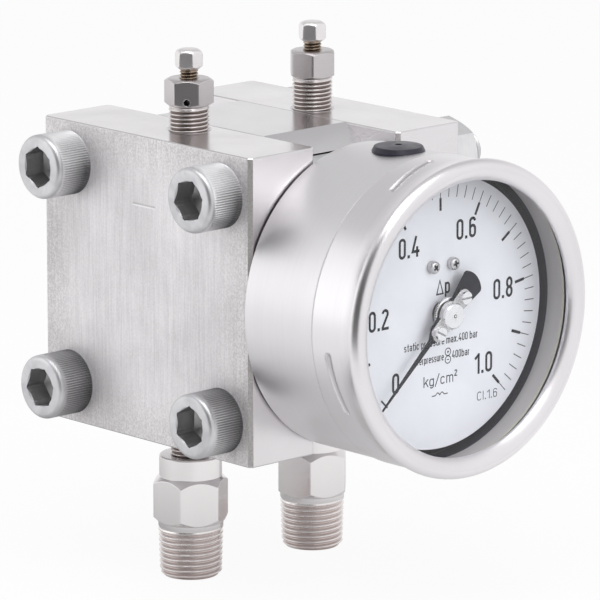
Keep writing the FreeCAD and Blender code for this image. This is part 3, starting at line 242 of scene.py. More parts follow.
class Effects:
    """Shader node groups that several finishes share."""

    @staticmethod
    def _group(name: str, inputs: Sequence[tuple[str, str]], outputs: Sequence[tuple[str, str]],
               fill: Callable[[Tree, Sockets], Sequence[Socket]]) -> bpy.types.NodeTree:
        """A node group by its name, made on first use.

        Args:
            name: The group's name.
            inputs: Names and socket types of what it takes.
            outputs: Names and socket types of what it gives.
            fill: Adds its nodes to the tree, from the inputs by name to a socket for each output.

        Returns:
            The group.
        """
        group = bpy.data.node_groups.get(name)
        if group is None:
            group = bpy.data.node_groups.new(name, "ShaderNodeTree")
            for way, sockets in (("INPUT", inputs), ("OUTPUT", outputs)):
                for socket, kind in sockets:
                    group.interface.new_socket(socket, in_out=way, socket_type=f"NodeSocket{kind}")
            source, result = (group.nodes.new(f"NodeGroup{end}") for end in ("Input", "Output"))
            for made, target in zip(fill(Tree(group), {item.name: item for item in source.outputs}), result.inputs):
                group.links.new(made, target)
        return group

    @classmethod
    def grain(cls) -> bpy.types.NodeTree:
        """Fine lines drawn out along one direction by stretching the coordinates.

        Returns:
            The group.
        """
        def fill(tree: Tree, given: Sockets) -> list[Socket]:
            """Add the group's nodes."""
            point = tree.vector("MULTIPLY", given["Point"], given["Stretch"])
            noise = tree.add("TexNoise", {"Vector": point, "Scale": 1.0, "Detail": 5.0, "Roughness": 0.6})
            return [tree.span(noise.outputs[0], (0.3, 0.7))]

        return cls._group("steel_grain", [("Point", "Vector"), ("Stretch", "Vector")], [("Lines", "Float")], fill)

    @classmethod
    def mottle(cls) -> bpy.types.NodeTree:
        """Soft cloudy patches, for handling marks and uneven gloss.

        Returns:
            The group.
        """
        def fill(tree: Tree, given: Sockets) -> list[Socket]:
            """Add the group's nodes."""
            noise = tree.add("TexNoise", {"Vector": given["Point"], "Scale": given["Scale"], "Detail": 3.0,
                                          "Roughness": 0.55, "Distortion": 0.4})
            return [tree.span(noise.outputs[0], (0.32, 0.68), smooth=True)]

        return cls._group("steel_mottle", [("Point", "Vector"), ("Scale", "Float")], [("Patches", "Float")], fill)

    @classmethod
    def rounded_edge(cls) -> bpy.types.NodeTree:
        """Normal rounded over sharp edges, and a mask of those edges.

        Returns:
            The group.
        """
        def fill(tree: Tree, given: Sockets) -> list[Socket]:
            """Add the group's nodes."""
            bevel = tree.add("Bevel", {"Radius": given["Radius"]}, samples=6).outputs[0]
            plain = tree.add("NewGeometry").outputs["Normal"]
            dot = tree.add("VectorMath", {0: bevel, 1: plain}, operation="DOT_PRODUCT").outputs["Value"]
            return [bevel, tree.span(dot, (0.995, 0.86))]

        return cls._group("rounded_edge", [("Radius", "Float")], [("Normal", "Vector"), ("Edge", "Float")], fill)

    @classmethod
    def recess(cls) -> bpy.types.NodeTree:
        """Mask of slots, corners and other recesses, from ambient occlusion, where painted shade goes.

        Returns:
            The group.
        """
        def fill(tree: Tree, given: Sockets) -> list[Socket]:
            """Add the group's nodes."""
            shut = tree.add("AmbientOcclusion", {"Distance": given["Reach"]}, samples=6, only_local=True)
            return [tree.span(shut.outputs["AO"], (0.9, 0.35))]

        return cls._group("recess", [("Reach", "Float")], [("Depth", "Float")], fill)

    @classmethod
    def about_axis(cls) -> bpy.types.NodeTree:
        """Angle, radius and distance along a piece's own axis, which lies along Z of the given point.

        Returns:
            The group.
        """
        def fill(tree: Tree, given: Sockets) -> list[Socket]:
            """Add the group's nodes."""
            x, y, z = tree.split(given["Point"])
            return [tree.math("ARCTAN2", y, x), tree.length(tree.join(x, y)), z]

        return cls._group("about_axis", [("Point", "Vector")],
                          [("Angle", "Float"), ("Radius", "Float"), ("Along", "Float")], fill)


# Finishes


@dataclass(frozen=True)
class Finish:
    """A finish with its own procedural material.

    Args:
        name: The material's name.
        slot: The record's material slot.
    """

    name: str
    slot: str

    def material(self) -> bpy.types.Material:
        """The finish's material, made on first use.

        Returns:
            The material.
        """
        made = bpy.data.materials.get(self.name)
        if made is None:
            made = bpy.data.materials.new(self.name)
            tree = Tree.cleared(made)
            tree.add("OutputMaterial", {"Surface": self.surface(tree)})
        return made

    def surface(self, tree: Tree) -> Socket:
        """Build the surface shader. Each finish gives its own."""
        raise NotImplementedError

    @staticmethod
    def here(tree: Tree) -> Socket:
        """The point on the surface, in the row frame."""
        return tree.add("TexCoord").outputs["Object"]

    @staticmethod
    def grain(tree: Tree, point: Socket, stretch: Triple) -> Socket:
        """Fine lines, as many for each unit of the point as the stretch says."""
        return tree.effect(Effects.grain(), Point=point, Stretch=stretch)["Lines"]

    @classmethod
    def cloud(cls, tree: Tree, scale: float) -> Socket:
        """Cloudy patches, by their number for each metre."""
        return tree.effect(Effects.mottle(), Point=cls.here(tree), Scale=scale)["Patches"]

    @classmethod
    def about(cls, tree: Tree, axis: Axis) -> Sockets:
        """Place on the surface as angle, radius and distance along the nearest axis of a kind.

        Args:
            tree: The material's tree.
            axis: The kind of axis.

        Returns:
            The three by name. The angle's seam lies out of sight.
        """
        x, y, z = tree.split(cls.here(tree))
        level = tree.math("SUBTRACT", z, CELL_Z * MM)
        if axis is Axis.DIAL:
            local = (level, x, y)
        elif axis is Axis.PORT:
            across = tree.math("SUBTRACT", tree.math("ABSOLUTE", x), PORT_X * MM)
            local = (tree.times(y, -1.0), across, z)
        else:
            off = [tree.math("SUBTRACT", value, tree.times(tree.math("SIGN", value), BOLT_PITCH / 2 * MM))
                   for value in (y, level)]
            local = (tree.times(off[0], -1.0), off[1], x)
        return tree.effect(Effects.about_axis(), Point=tree.join(*local))

    @staticmethod
    def bumped(tree: Tree, inputs: dict, height: Socket, strength: float, normal: Socket | None = None) -> Socket:
        """A Principled surface with a fine relief.

        Args:
            tree: The material's tree.
            inputs: What the surface takes apart from its normal.
            height: Height of the relief.
            strength: How deep it looks.
            normal: The normal below it, where that isn't the mesh's own.

        Returns:
            The shader's socket.
        """
        below = {} if normal is None else {"Normal": normal}
        bump = tree.add("Bump", {"Strength": strength, "Distance": RELIEF, "Height": height, **below})
        return tree.add("BsdfPrincipled", {**inputs, "Normal": bump.outputs[0]}).outputs[0]


@dataclass(frozen=True)
class MilledSteel(Finish):
    """Milled steel of the square cell: streaked sides, plain fronts, smooth tops and a rough border.

    Args:
        dark: The streaks' darker tone.
        light: Their lighter tone.
        raw: Tone of the unmachined upright edges.
        border: How strongly the sides turn gritty towards their border.
        bare: How far the dull sides still mirror as bare metal.
        streak: Stretch of the sides' lines.
        speck: Stretch of the grit.
        fine: Stretch of the fronts' and tops' lines.
        patch: Cloudy patches for each metre.
        front_tone: Range of the fronts between dark and light.
        rough_front: Where the fronts' roughness runs between.
        rough_top: The same for the tops.
        rough_side: The same for the sides.
        rough_corner: Least roughness of the upright edges.
        flat: How squarely a face has to look one way.
        outer: Where the plates' outer sides start and are whole.
        rim: Where the sides' border starts and is whole.
        edge: Radius of softened edges.
    """

    dark: Colour = (0.62, 0.602, 0.614)
    light: Colour = (0.98, 0.96, 0.978)
    raw: Colour = (0.42, 0.39, 0.38)
    border: float = 0.40
    bare: float = 0.55
    streak: Triple = (900, 1500, 55)
    speck: Triple = (1900, 1900, 1600)
    fine: Triple = (1900, 220, 1900)
    patch: float = 24.0
    front_tone: Pair = (0.23, 0.48)
    rough_front: Pair = (0.21, 0.28)
    rough_top: Pair = (0.26, 0.17)
    rough_side: Pair = (0.62, 0.50)
    rough_corner: float = 0.55
    flat: Pair = (0.93, 0.97)
    outer: Pair = (30.0, 34.0)
    rim: Pair = (30.0, 50.0)
    edge: float = 0.00035

    def surface(self, tree: Tree) -> Socket:
        """Mix the kinds of face by which way they look.

        Args:
            tree: The material's tree.

        Returns:
            The shader's socket.
        """
        point = self.here(tree)
        way = tree.split(tree.vector("ABSOLUTE", tree.add("NewGeometry").outputs["True Normal"]))
        spread = tree.split(tree.vector("ABSOLUTE", tree.vector("SUBTRACT", point, (0.0, 0.0, CELL_Z * MM))))
        side, front, top = (tree.span(way[face.value], self.flat) for face in Face)
        bent = tree.rest(tree.math("MAXIMUM", side, front))
        side = tree.times(side, tree.reach(spread[0], self.outer))
        streak, speck, fine = (self.grain(tree, point, stretch) for stretch in (self.streak, self.speck, self.fine))
        cloud = self.cloud(tree, self.patch)
        rim = tree.reach(tree.math("MAXIMUM", spread[1], spread[2]), self.rim, smooth=True)
        corner = tree.times(tree.span(way[Face.TOP.value], (0.1, 0.3), FALL), bent)
        drawn = tree.weigh((streak, 0.36), (cloud, 0.34), (speck, 0.30))
        calm = tree.weigh((fine, 0.3), (cloud, 0.7))
        tone = tree.pick(side, tree.span(calm, UNIT, self.front_tone), drawn)
        grit = tree.times(rim, side, tree.span(speck, (0.2, 0.8), (self.border, 0.0)))
        colour = tree.blend(grit, tree.blend(tone, self.dark, self.light), self.raw)
        colour = tree.blend(corner, colour, tree.blend(speck, self.raw, self.dark))
        level = tree.pick(top, tree.span(cloud, UNIT, self.rough_front), tree.span(calm, UNIT, self.rough_top))
        rough = tree.pick(side, level, tree.span(drawn, UNIT, self.rough_side))
        rough = tree.math("MAXIMUM", rough, tree.times(corner, self.rough_corner))
        return self.bumped(tree, {"Base Color": colour, "Metallic": tree.span(side, UNIT, (1.0, self.bare)),
                                  "Roughness": rough}, tree.pick(side, calm, speck), 0.1,
                           tree.effect(Effects.rounded_edge(), Radius=self.edge)["Normal"])


@dataclass(frozen=True)
class RoundSteel(Finish):
    """Steel of round parts, with fine lines round their axis and soft changes of gloss.

    Args:
        axis: The axis that the lines run round.
        colour: The lighter tone.
        shade: The darker tone.
        glint: Tone of sharp edges: wear and painted highlight where lighter, painted shade where darker.
        roughness: Where roughness runs between.
        lines: Lines for each metre.
        bump: How deep they look.
        edge: Radius of softened edges.
        patch: Cloudy patches for each metre.
        recess_shade: How far from a corner the painted shade reaches, or 0 for none.
        worn: Roughness that edges have over the rest.
    """

    axis: Axis = Axis.DIAL
    colour: Colour = (0.77, 0.742, 0.748)
    shade: Colour = (0.70, 0.672, 0.678)
    glint: Colour = (0.92, 0.91, 0.92)
    roughness: Pair = (0.22, 0.32)
    lines: float = 2400.0
    bump: float = 0.03
    edge: float = 0.00025
    patch: float = 40.0
    recess_shade: float = 0.0
    worn: float = 0.0

    def surface(self, tree: Tree) -> Socket:
        """Lines and clouds change tone and gloss together.

        Args:
            tree: The material's tree.

        Returns:
            The shader's socket.
        """
        turned = self.about(tree, self.axis)
        place = tree.join(turned["Angle"], turned["Along"], turned["Radius"])
        line = self.grain(tree, place, (2.5, self.lines, self.lines * 0.15))
        edge = tree.effect(Effects.rounded_edge(), Radius=self.edge)
        tone = tree.weigh((line, 0.4), (self.cloud(tree, self.patch), 0.6))
        colour = self.tint(tree, turned, tree.blend(tone, self.shade, self.colour))
        # Sharp edges take the glint tone: wear and painted highlight, painted shade where glint is darker.
        colour = tree.blend(tree.times(edge["Edge"], 0.6), colour, self.glint)
        # Painted shade in slots, corners and other recesses, from ambient occlusion.
        if self.recess_shade:
            colour = tree.blend(tree.effect(Effects.recess(), Reach=self.recess_shade)["Depth"], colour, RECESS_SHADE)
        rough = tree.math("ADD", tree.span(tone, UNIT, self.roughness[::-1]), tree.times(edge["Edge"], self.worn))
        return self.bumped(tree, {"Base Color": colour, "Metallic": self.bare(tree, turned), "Roughness": rough},
                           line, self.bump, edge["Normal"])

    def tint(self, tree: Tree, turned: Sockets, colour: Socket) -> Socket:
        """Change the tone by the place about the axis. Plain steel keeps it."""
        return colour

    def bare(self, tree: Tree, turned: Sockets) -> object:
        """How far the surface is bare metal. Plain steel is so all over."""
        return 1.0


@dataclass(frozen=True)
class CaseSteel(RoundSteel):
    """Satin case, with painted shade inside behind the dial and pale paint on the inner wall before it.

    Args:
        wall: Tone of the inner wall before the dial.
        hollow: Painted shade of the inside behind it.
        inner: Radii where the inside ends and the outside starts.
        floor: Where the inside ends and starts along the axis.
        dial: The same for the pale wall.
    """

    wall: Colour = (0.56, 0.53, 0.525)
    hollow: Colour = (0.032, 0.027, 0.046)
    inner: Pair = (48.9, 49.0)
    floor: Pair = (-52.4, -52.5)
    dial: Pair = (-87.0, -87.3)

    def inside(self, tree: Tree, turned: Sockets) -> Socket:
        """Mask of the case's inside."""
        return tree.times(tree.reach(turned["Radius"], self.inner, FALL), tree.reach(turned["Along"], self.floor))

    def tint(self, tree: Tree, turned: Sockets, colour: Socket) -> Socket:
        """Paint the inside by distance from the dial: pale paint before it, painted shade behind it."""
        # Painted shade behind the dial, pale paint on the wall before it.
        paint = tree.blend(tree.reach(turned["Along"], self.dial), self.hollow, self.wall)
        return tree.blend(self.inside(tree, turned), colour, paint)

    def bare(self, tree: Tree, turned: Sockets) -> object:
        """Painted inside, bare outside."""
        return tree.rest(self.inside(tree, turned))


@dataclass(frozen=True)
class RingSteel(RoundSteel):
    """Satin ring, with painted shade in the dimples of its skirt.

    Args:
        dimple_shade: Painted shade of the dimples.
        skirt: Radii where a dimple starts and is whole.
        waist: Where the skirt starts and is whole along the axis.
    """

    dimple_shade: Colour = (0.58, 0.565, 0.58)
    skirt: Pair = (49.88, 49.60)
    waist: Pair = (-95.3, -95.0)

    def tint(self, tree: Tree, turned: Sockets, colour: Socket) -> Socket:
        """Paint shade into the dimples by their depth under the skirt."""
        # Painted shade, deeper where the dimple is deeper.
        dimple = tree.times(tree.reach(turned["Radius"], self.skirt), tree.reach(turned["Along"], self.waist))
        return tree.blend(dimple, colour, self.dimple_shade)


@dataclass(frozen=True)
class KnurlSteel(RoundSteel):
    """Knurled steel, bright on the teeth, dirty and in painted shade between them, at the head's foot and underneath.

    Args:
        root: Tone between the teeth, dirty and in painted shade.
        reach: Radii of root and tooth.
        foot: Where soiling and painted shade at the head's foot start and are thickest.
        grime_and_shade: How thick they get there.
        top: Share of the painted shade and soiling that is left on the upper side.
    """

    root: Colour = (0.36, 0.356, 0.37)
    reach: Pair = (10.2, 10.46)
    foot: Pair = (-56.0, -48.5)
    grime_and_shade: float = 0.92
    top: float = 0.2

    def tint(self, tree: Tree, turned: Sockets, colour: Socket) -> Socket:
        """Paint shade and soiling towards the teeth's roots and the head's foot, less on top.

        Args:
            tree: The material's tree.
            turned: Place about the axis.
            colour: The plain tone.

        Returns:
            The darkened tone.
        """
        # Painted shade: the underside is darker than the top.
        under = tree.span(tree.math("SINE", turned["Angle"]), (-0.2, 0.9), (1.0, self.top), smooth=True)
        depth = tree.reach(turned["Radius"], self.reach, FALL)
        # Soiling and painted shade by the plate, at the head's foot.
        near = tree.reach(turned["Along"], self.foot, (0.0, self.grime_and_shade))
        colour = tree.blend(tree.times(depth, under), colour, self.root)
        return tree.blend(tree.times(near, under), colour, GREASE_AND_SHADE)


@dataclass(frozen=True)
class ThreadSteel(Finish):
    """Cut threads: bright crests and browner roots in painted shade, told apart by the distance from the axis.

    Args:
        crest: Tone of the crests.
        root: Tone of the roots, with their painted shade.
        reach: Radii of root and crest.
        roughness: Roughness at root and crest.
    """

    crest: Colour = (0.78, 0.745, 0.74)
    root: Colour = (0.26, 0.21, 0.19)
    reach: Pair = (5.8, 6.5)
    roughness: Pair = (0.42, 0.22)

    def surface(self, tree: Tree) -> Socket:
        """Paint shade into the roots by radius about the nearer of the two upright port axes.

        Args:
            tree: The material's tree.

        Returns:
            The shader's socket.
        """
        depth = tree.reach(self.about(tree, Axis.PORT)["Radius"], self.reach, smooth=True)
        line = self.grain(tree, self.here(tree), (400, 400, 2600))
        tone = tree.times(depth, tree.span(line, UNIT, (0.8, 1.0)))
        return self.bumped(tree, {"Base Color": tree.blend(tone, self.root, self.crest), "Metallic": 1.0,
                                  "Roughness": tree.span(tone, UNIT, self.roughness)}, line, 0.05)


@dataclass(frozen=True)
class DullCoat(Finish):
    """Paint, ink or rubber: dull, with a cloudy tone over a fine skin.

    Args:
        colour: Tone between the clouds.
        cloudy: Tone of the clouds.
        share: How strong the clouds are.
        roughness: Roughness between the clouds and in them.
        gloss: Strength of its shine.
        patch: Clouds for each metre.
        skin: Pits for each metre.
        relief: How deep they look.
    """

    colour: Colour = (0.90, 0.89, 0.93)
    cloudy: Colour = (0.93, 0.92, 0.955)
    share: float = 1.0
    roughness: Pair = (0.5, 0.62)
    gloss: float = 0.3
    patch: float = 60.0
    skin: float = 1200.0
    relief: float = 0.02

    def surface(self, tree: Tree) -> Socket:
        """Cloudy tone and gloss over a finely pitted skin.

        Args:
            tree: The material's tree.

        Returns:
            The shader's socket.
        """
        cloud = self.cloud(tree, self.patch)
        skin = self.grain(tree, self.here(tree), (self.skin,) * 3)
        return self.bumped(tree, {"Base Color": tree.blend(tree.times(cloud, self.share), self.colour, self.cloudy),
                                  "Roughness": tree.span(cloud, UNIT, self.roughness),
                                  "Specular IOR Level": self.gloss}, skin, self.relief)


@dataclass(frozen=True)
class ClearGlass(Finish):
    """Window glass that lets the lamps through to the dial."""

    tint: Colour = (0.97, 0.985, 1.0)
    mirror: Colour = (0.35, 0.35, 0.35)

    def surface(self, tree: Tree) -> Socket:
        """Plain glass for sight, and a clear pane for the lamps' rays.

        Args:
            tree: The material's tree.

        Returns:
            The shader's socket.
        """
        rough = tree.span(self.cloud(tree, 50.0), UNIT, (0.0, 0.015))
        glass = tree.add("BsdfPrincipled", {"Base Color": self.tint, "Roughness": rough, "IOR": 1.5,
                                            "Specular Tint": self.mirror, "Transmission Weight": 1.0})
        clear = tree.add("BsdfTransparent", {"Color": self.tint})
        shadow = tree.add("LightPath").outputs["Is Shadow Ray"]
        return tree.add("MixShader", {0: shadow, 1: glass.outputs[0], 2: clear.outputs[0]}).outputs[0]


PLATE_FINISH = MilledSteel("milled_plate", "milled_steel")
CELL_FINISH = replace(PLATE_FINISH, name="ground_cell", dark=(0.62, 0.605, 0.62), light=(0.78, 0.765, 0.785),
                      raw=(0.70, 0.685, 0.70), border=0.0)
# Punched signs, drawn flat: painted shade in the groove and a painted highlight along its edge.
MARK_FINISH = RoundSteel("punched_mark", "milled_steel", Axis.DIAL, (0.58, 0.565, 0.575), (0.52, 0.505, 0.515),
                         roughness=(0.4, 0.5))
MARK_HIGHLIGHT_FINISH = replace(MARK_FINISH, name="punched_burr", colour=(0.90, 0.885, 0.90), shade=(0.84, 0.825, 0.84))
TURNED_FINISH = RoundSteel("turned_fitting", "turned_steel", Axis.PORT, (0.87, 0.842, 0.848), (0.84, 0.812, 0.818),
                           roughness=(0.24, 0.28), bump=0.004)
VENT_FINISH = RoundSteel("vent_fitting", "turned_steel", Axis.PORT, (0.62, 0.592, 0.598), (0.55, 0.522, 0.528),
                         roughness=(0.27, 0.36), bump=0.01, recess_shade=0.0008)
VENT_SCREW_FINISH = replace(VENT_FINISH, name="vent_screw", colour=(0.88, 0.852, 0.858), shade=(0.80, 0.772, 0.778),
                            roughness=(0.32, 0.42), recess_shade=0.0006)
# Near-black for holes, recesses and grooves: painted shade inside them.
BORE_FINISH = RoundSteel("dark_bore", "turned_steel", Axis.PORT, (0.075, 0.07, 0.074), (0.05, 0.046, 0.05),
                         (0.20, 0.19, 0.19), (0.5, 0.6))
PIPE_THREAD_FINISH = ThreadSteel("pipe_thread", "turned_steel", (0.92, 0.885, 0.88), (0.74, 0.665, 0.645),
                                 (9.4, 10.35), (0.40, 0.26))
PORT_THREAD_FINISH = ThreadSteel("port_thread", "turned_steel")
VENT_THREAD_FINISH = ThreadSteel("vent_thread", "turned_steel", (0.46, 0.38, 0.30), (0.10, 0.07, 0.05), (2.5, 3.0))
PLATED_FINISH = RoundSteel("plated_bolt", "plated_steel", Axis.BOLT, (0.70, 0.70, 0.72), (0.56, 0.56, 0.578),
                           (0.80, 0.80, 0.82), (0.40, 0.52), lines=1500.0, bump=0.05, edge=0.0003, patch=130.0)
# Darker copy of the plating inside the sockets: painted shade in the recess.
SOCKET_FINISH = replace(PLATED_FINISH, name="bolt_socket", colour=(0.58, 0.575, 0.58), shade=(0.44, 0.435, 0.44),
                        glint=(0.74, 0.74, 0.755), roughness=(0.34, 0.46), patch=160.0)
KNURL_FINISH = KnurlSteel("knurled_bolt", "plated_steel", Axis.BOLT, (0.92, 0.92, 0.935), (0.80, 0.80, 0.815),
                          (0.92, 0.92, 0.935), (0.36, 0.48), lines=1500.0, bump=0.05, edge=0.00012, patch=130.0)
# Darker copy of the knurl for the lower bolts: painted shade.
LOWER_KNURL_SHADE_FINISH = replace(KNURL_FINISH, name="knurled_bolt_worn", colour=(0.72, 0.715, 0.73),
                            shade=(0.56, 0.555, 0.57), glint=(0.76, 0.76, 0.775), root=(0.19, 0.186, 0.194),
                            foot=(-57.0, -47.0), top=0.9)
NUT_FINISH = RoundSteel("bright_nut", "plated_steel", Axis.BOLT, (0.82, 0.815, 0.83), (0.72, 0.715, 0.73),
                        roughness=(0.30, 0.42), lines=1500.0, bump=0.04, edge=0.0003, patch=90.0)
CASE_FINISH = CaseSteel("satin_case", "case_steel", Axis.DIAL, (0.81, 0.795, 0.812), (0.76, 0.745, 0.762),
                        roughness=(0.36, 0.42), lines=1400.0, bump=0.012, edge=0.0003, patch=12.0)
RING_FINISH = RingSteel("satin_ring", "polished_steel", Axis.DIAL, (0.82, 0.80, 0.82), (0.77, 0.75, 0.77),
                        (0.74, 0.72, 0.74), (0.28, 0.34), lines=1400.0, bump=0.01, edge=0.001, patch=14.0, worn=0.35)
FINE_FINISH = RoundSteel("bright_fine", "fine_steel", Axis.DIAL, (0.90, 0.885, 0.89), (0.82, 0.805, 0.81),
                         roughness=(0.14, 0.22), lines=3000.0, edge=0.0001, patch=150.0, recess_shade=0.0007)
SCREW_FINISH = replace(FINE_FINISH, name="dull_fine", colour=(0.62, 0.607, 0.612), shade=(0.52, 0.507, 0.512),
                       glint=(0.80, 0.785, 0.79), roughness=(0.24, 0.32), edge=0.00015, recess_shade=0.0009)
BRASS_FINISH = RoundSteel("turned_brass", "movement_brass", Axis.DIAL, (0.78, 0.60, 0.30), (0.66, 0.49, 0.22),
                          (0.86, 0.70, 0.42), (0.25, 0.4), lines=1800.0, edge=0.00015, patch=120.0)
RUBBER_FINISH = DullCoat("moulded_rubber", "black_rubber", (0.026, 0.024, 0.036), (0.042, 0.039, 0.056), 0.6,
                         (0.30, 0.42), patch=180.0, skin=2500.0, relief=0.04)
GASKET_FINISH = replace(RUBBER_FINISH, name="pale_gasket", slot="pale_rubber", colour=(0.60, 0.57, 0.50),
                        cloudy=(0.52, 0.49, 0.43))
GLASS_FINISH = ClearGlass("window_glass", "clear_glass")
DIAL_FINISH = DullCoat("dial_white", "white_dial")
INK_FINISH = DullCoat("dial_ink", "black_paint", (0.025, 0.025, 0.032), (0.018, 0.018, 0.024), gloss=0.1)
POINTER_FINISH = DullCoat("pointer_black", "black_paint", (0.028, 0.026, 0.033), (0.020, 0.019, 0.025),
                          roughness=(0.5, 0.6), gloss=0.15)
SLOT_FINISHES = {finish.slot: finish for finish in (
    PLATE_FINISH, TURNED_FINISH, PLATED_FINISH, CASE_FINISH, RING_FINISH, FINE_FINISH, BRASS_FINISH, RUBBER_FINISH,
    GASKET_FINISH, GLASS_FINISH, DIAL_FINISH, POINTER_FINISH)}
NODE_FINISHES = {"cell_body": CELL_FINISH, "clamp_nuts": NUT_FINISH, "pointer_carrier": SCREW_FINISH}


# Meshes


@dataclass
class Draft:
    """One mesh in the making, its axis along Z.

    Args:
        place: Carries points from the piece's own frame into the row frame, both in millimetres.
        count: Points in each ring.
        start: Angle of each ring's first point, in degrees.
    """

    place: Matrix = field(default_factory=lambda: Matrix.Identity(4))
    count: int = 96
    start: float = 0.0
    points: list[Vector] = field(default_factory=list)
    faces: list[tuple[int, ...]] = field(default_factory=list)
    coats: list[int] = field(default_factory=list)
    soft: list[bool] = field(default_factory=list)

    def add(self, points: Iterable[Vector]) -> list[int]:
        """Add points of the row frame.

        Args:
            points: The points, in millimetres.

        Returns:
            Their numbers.
        """
        first = len(self.points)
        self.points.extend(points)
        return list(range(first, len(self.points)))

    def face(self, numbers: Sequence[int], coat: Coat = Coat.MAIN, soft: bool = False) -> None:
        """Add a face by its points' numbers.

        Args:
            numbers: The points' numbers.
            coat: Its finish.
            soft: Whether edges between such faces stay smooth.
        """
        self.faces.append(tuple(numbers))
        self.coats.append(coat.value)
        self.soft.append(soft)

    def ring(self, law: Callable[[float], Pair]) -> list[int]:
        """Add a closed ring of points.

        Args:
            law: Gives radius and height for an angle in radians.

        Returns:
            The new points' numbers.
        """
        angles = [math.radians(self.start) + math.tau * step / self.count for step in range(self.count)]
        laid = [(angle, *law(angle)) for angle in angles]
        return self.add(self.place @ Vector((radius * math.cos(angle), radius * math.sin(angle), height))
                        for angle, radius, height in laid)

    def circle(self, radius: float, height: float) -> list[int]:
        """Add a plain round ring."""
        return self.ring(lambda angle: (radius, height))

    def circles(self, *profile: Pair) -> list[list[int]]:
        """Add plain round rings, each by its radius and height."""
        return [self.circle(*place) for place in profile]

    def bridge(self, first: Sequence[int], second: Sequence[int], coat: Coat = Coat.MAIN, soft: bool = False) -> None:
        """Join two rings with faces.

        Args:
            first: One ring.
            second: The next ring, with as many points.
            coat: The finish of these faces.
            soft: Whether edges between these faces stay smooth.
        """
        for step in range(len(first)):
            after = (step + 1) % len(first)
            self.face((first[step], first[after], second[after], second[step]), coat, soft)

    def chain(self, rings: Sequence[list[int]], coat: Coat = Coat.MAIN, soft: bool = False) -> None:
        """Join rings one after another."""
        for first, second in zip(rings, rings[1:]):
            self.bridge(first, second, coat, soft)

    def close(self, ring: Sequence[int], coat: Coat = Coat.MAIN) -> None:
        """Close a ring with a fan about its middle.

        Args:
            ring: The ring.
            coat: The finish of the fan.
        """
        hub, = self.add([sum((self.points[number] for number in ring), Vector()) / len(ring)])
        for step, number in enumerate(ring):
            self.face((number, ring[(step + 1) % len(ring)], hub), coat)

    def flat(self, points: Sequence[Pair], height: float = 0.0) -> list[int]:
        """Add points that lie across the axis and return their numbers."""
        return self.add(self.place @ Vector((x, y, height)) for x, y in points)

    def mesh(self, name: str, closed: bool = True) -> Mesh:
        """Turn the draft into a mesh with smooth faces and sharp edges.

        Args:
            name: The mesh's name.
            closed: Whether it is a closed skin whose faces are turned outwards.

        Returns:
            The mesh, in metres.
        """
        made = bpy.data.meshes.new(name)
        made.from_pydata([tuple(point * MM) for point in self.points], [], self.faces)
        work = bmesh.new()
        work.from_mesh(made)
        for face, coat in zip(work.faces, self.coats):
            face.smooth = True
            face.material_index = coat
        tender = {face for face, soft in zip(work.faces, self.soft) if soft}
        if closed:
            bmesh.ops.recalc_face_normals(work, faces=work.faces)
        for edge in work.edges:
            edge.smooth = all(face in tender for face in edge.link_faces) or edge.calc_face_angle(0.0) <= SHARP
        work.to_mesh(made)
        work.free()
        return made


def put(name: str, data: bpy.types.ID) -> bpy.types.Object:
    """Put a mesh, a lamp or a camera in the scene.

    Args:
        name: The object's name.
        data: What it shows.

    Returns:
        The new object.
    """
    item = bpy.data.objects.new(name, data)
    bpy.context.scene.collection.objects.link(item)
    return item


def add_piece(mesh: Mesh, body: str | None, finishes: Sequence[Finish], *replaced: str) -> bpy.types.Object:
    """Put a mesh in the scene as a piece of the gauge, under the mesh's name.

    Args:
        mesh: Its mesh, in the row frame.
        body: The body it moves with, or None for a piece that bends between two.
        finishes: Its finishes, in the order of its coats.
        replaced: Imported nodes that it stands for.

    Returns:
        The new object.
    """
    while len(mesh.materials) > len(finishes):
        mesh.materials.pop()
    while len(mesh.materials) < len(finishes):
        mesh.materials.append(None)
    for number, finish in enumerate(finishes):
        mesh.materials[number] = finish.material()
    piece = put(mesh.name, mesh)
    if body:
        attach(piece, body)
    if replaced:
        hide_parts(*replaced)
    LOG.info("piece %s on %s: %d faces", piece.name, body, len(mesh.polygons))
    return piece


def cut_away(mesh: Mesh, tool: Mesh) -> Mesh:
    """Cut one closed mesh out of another.

    Args:
        mesh: The mesh to cut.
        tool: The shape to take away.

    Returns:
        The cut mesh.
    """
    objects = [put(f"cut_{part.name}", part) for part in (mesh, tool)]
    for item in objects:
        while len(item.data.materials) < len(Coat):
            item.data.materials.append(None)
    change = objects[0].modifiers.new("cut", "BOOLEAN")
    change.object = objects[1]
    change.solver = "EXACT"
    bpy.context.view_layer.update()
    done = bpy.data.meshes.new_from_object(objects[0].evaluated_get(bpy.context.evaluated_depsgraph_get()))
    for item in objects:
        bpy.data.objects.remove(item)
    done.set_sharp_from_angle(angle=SHARP)
    return done


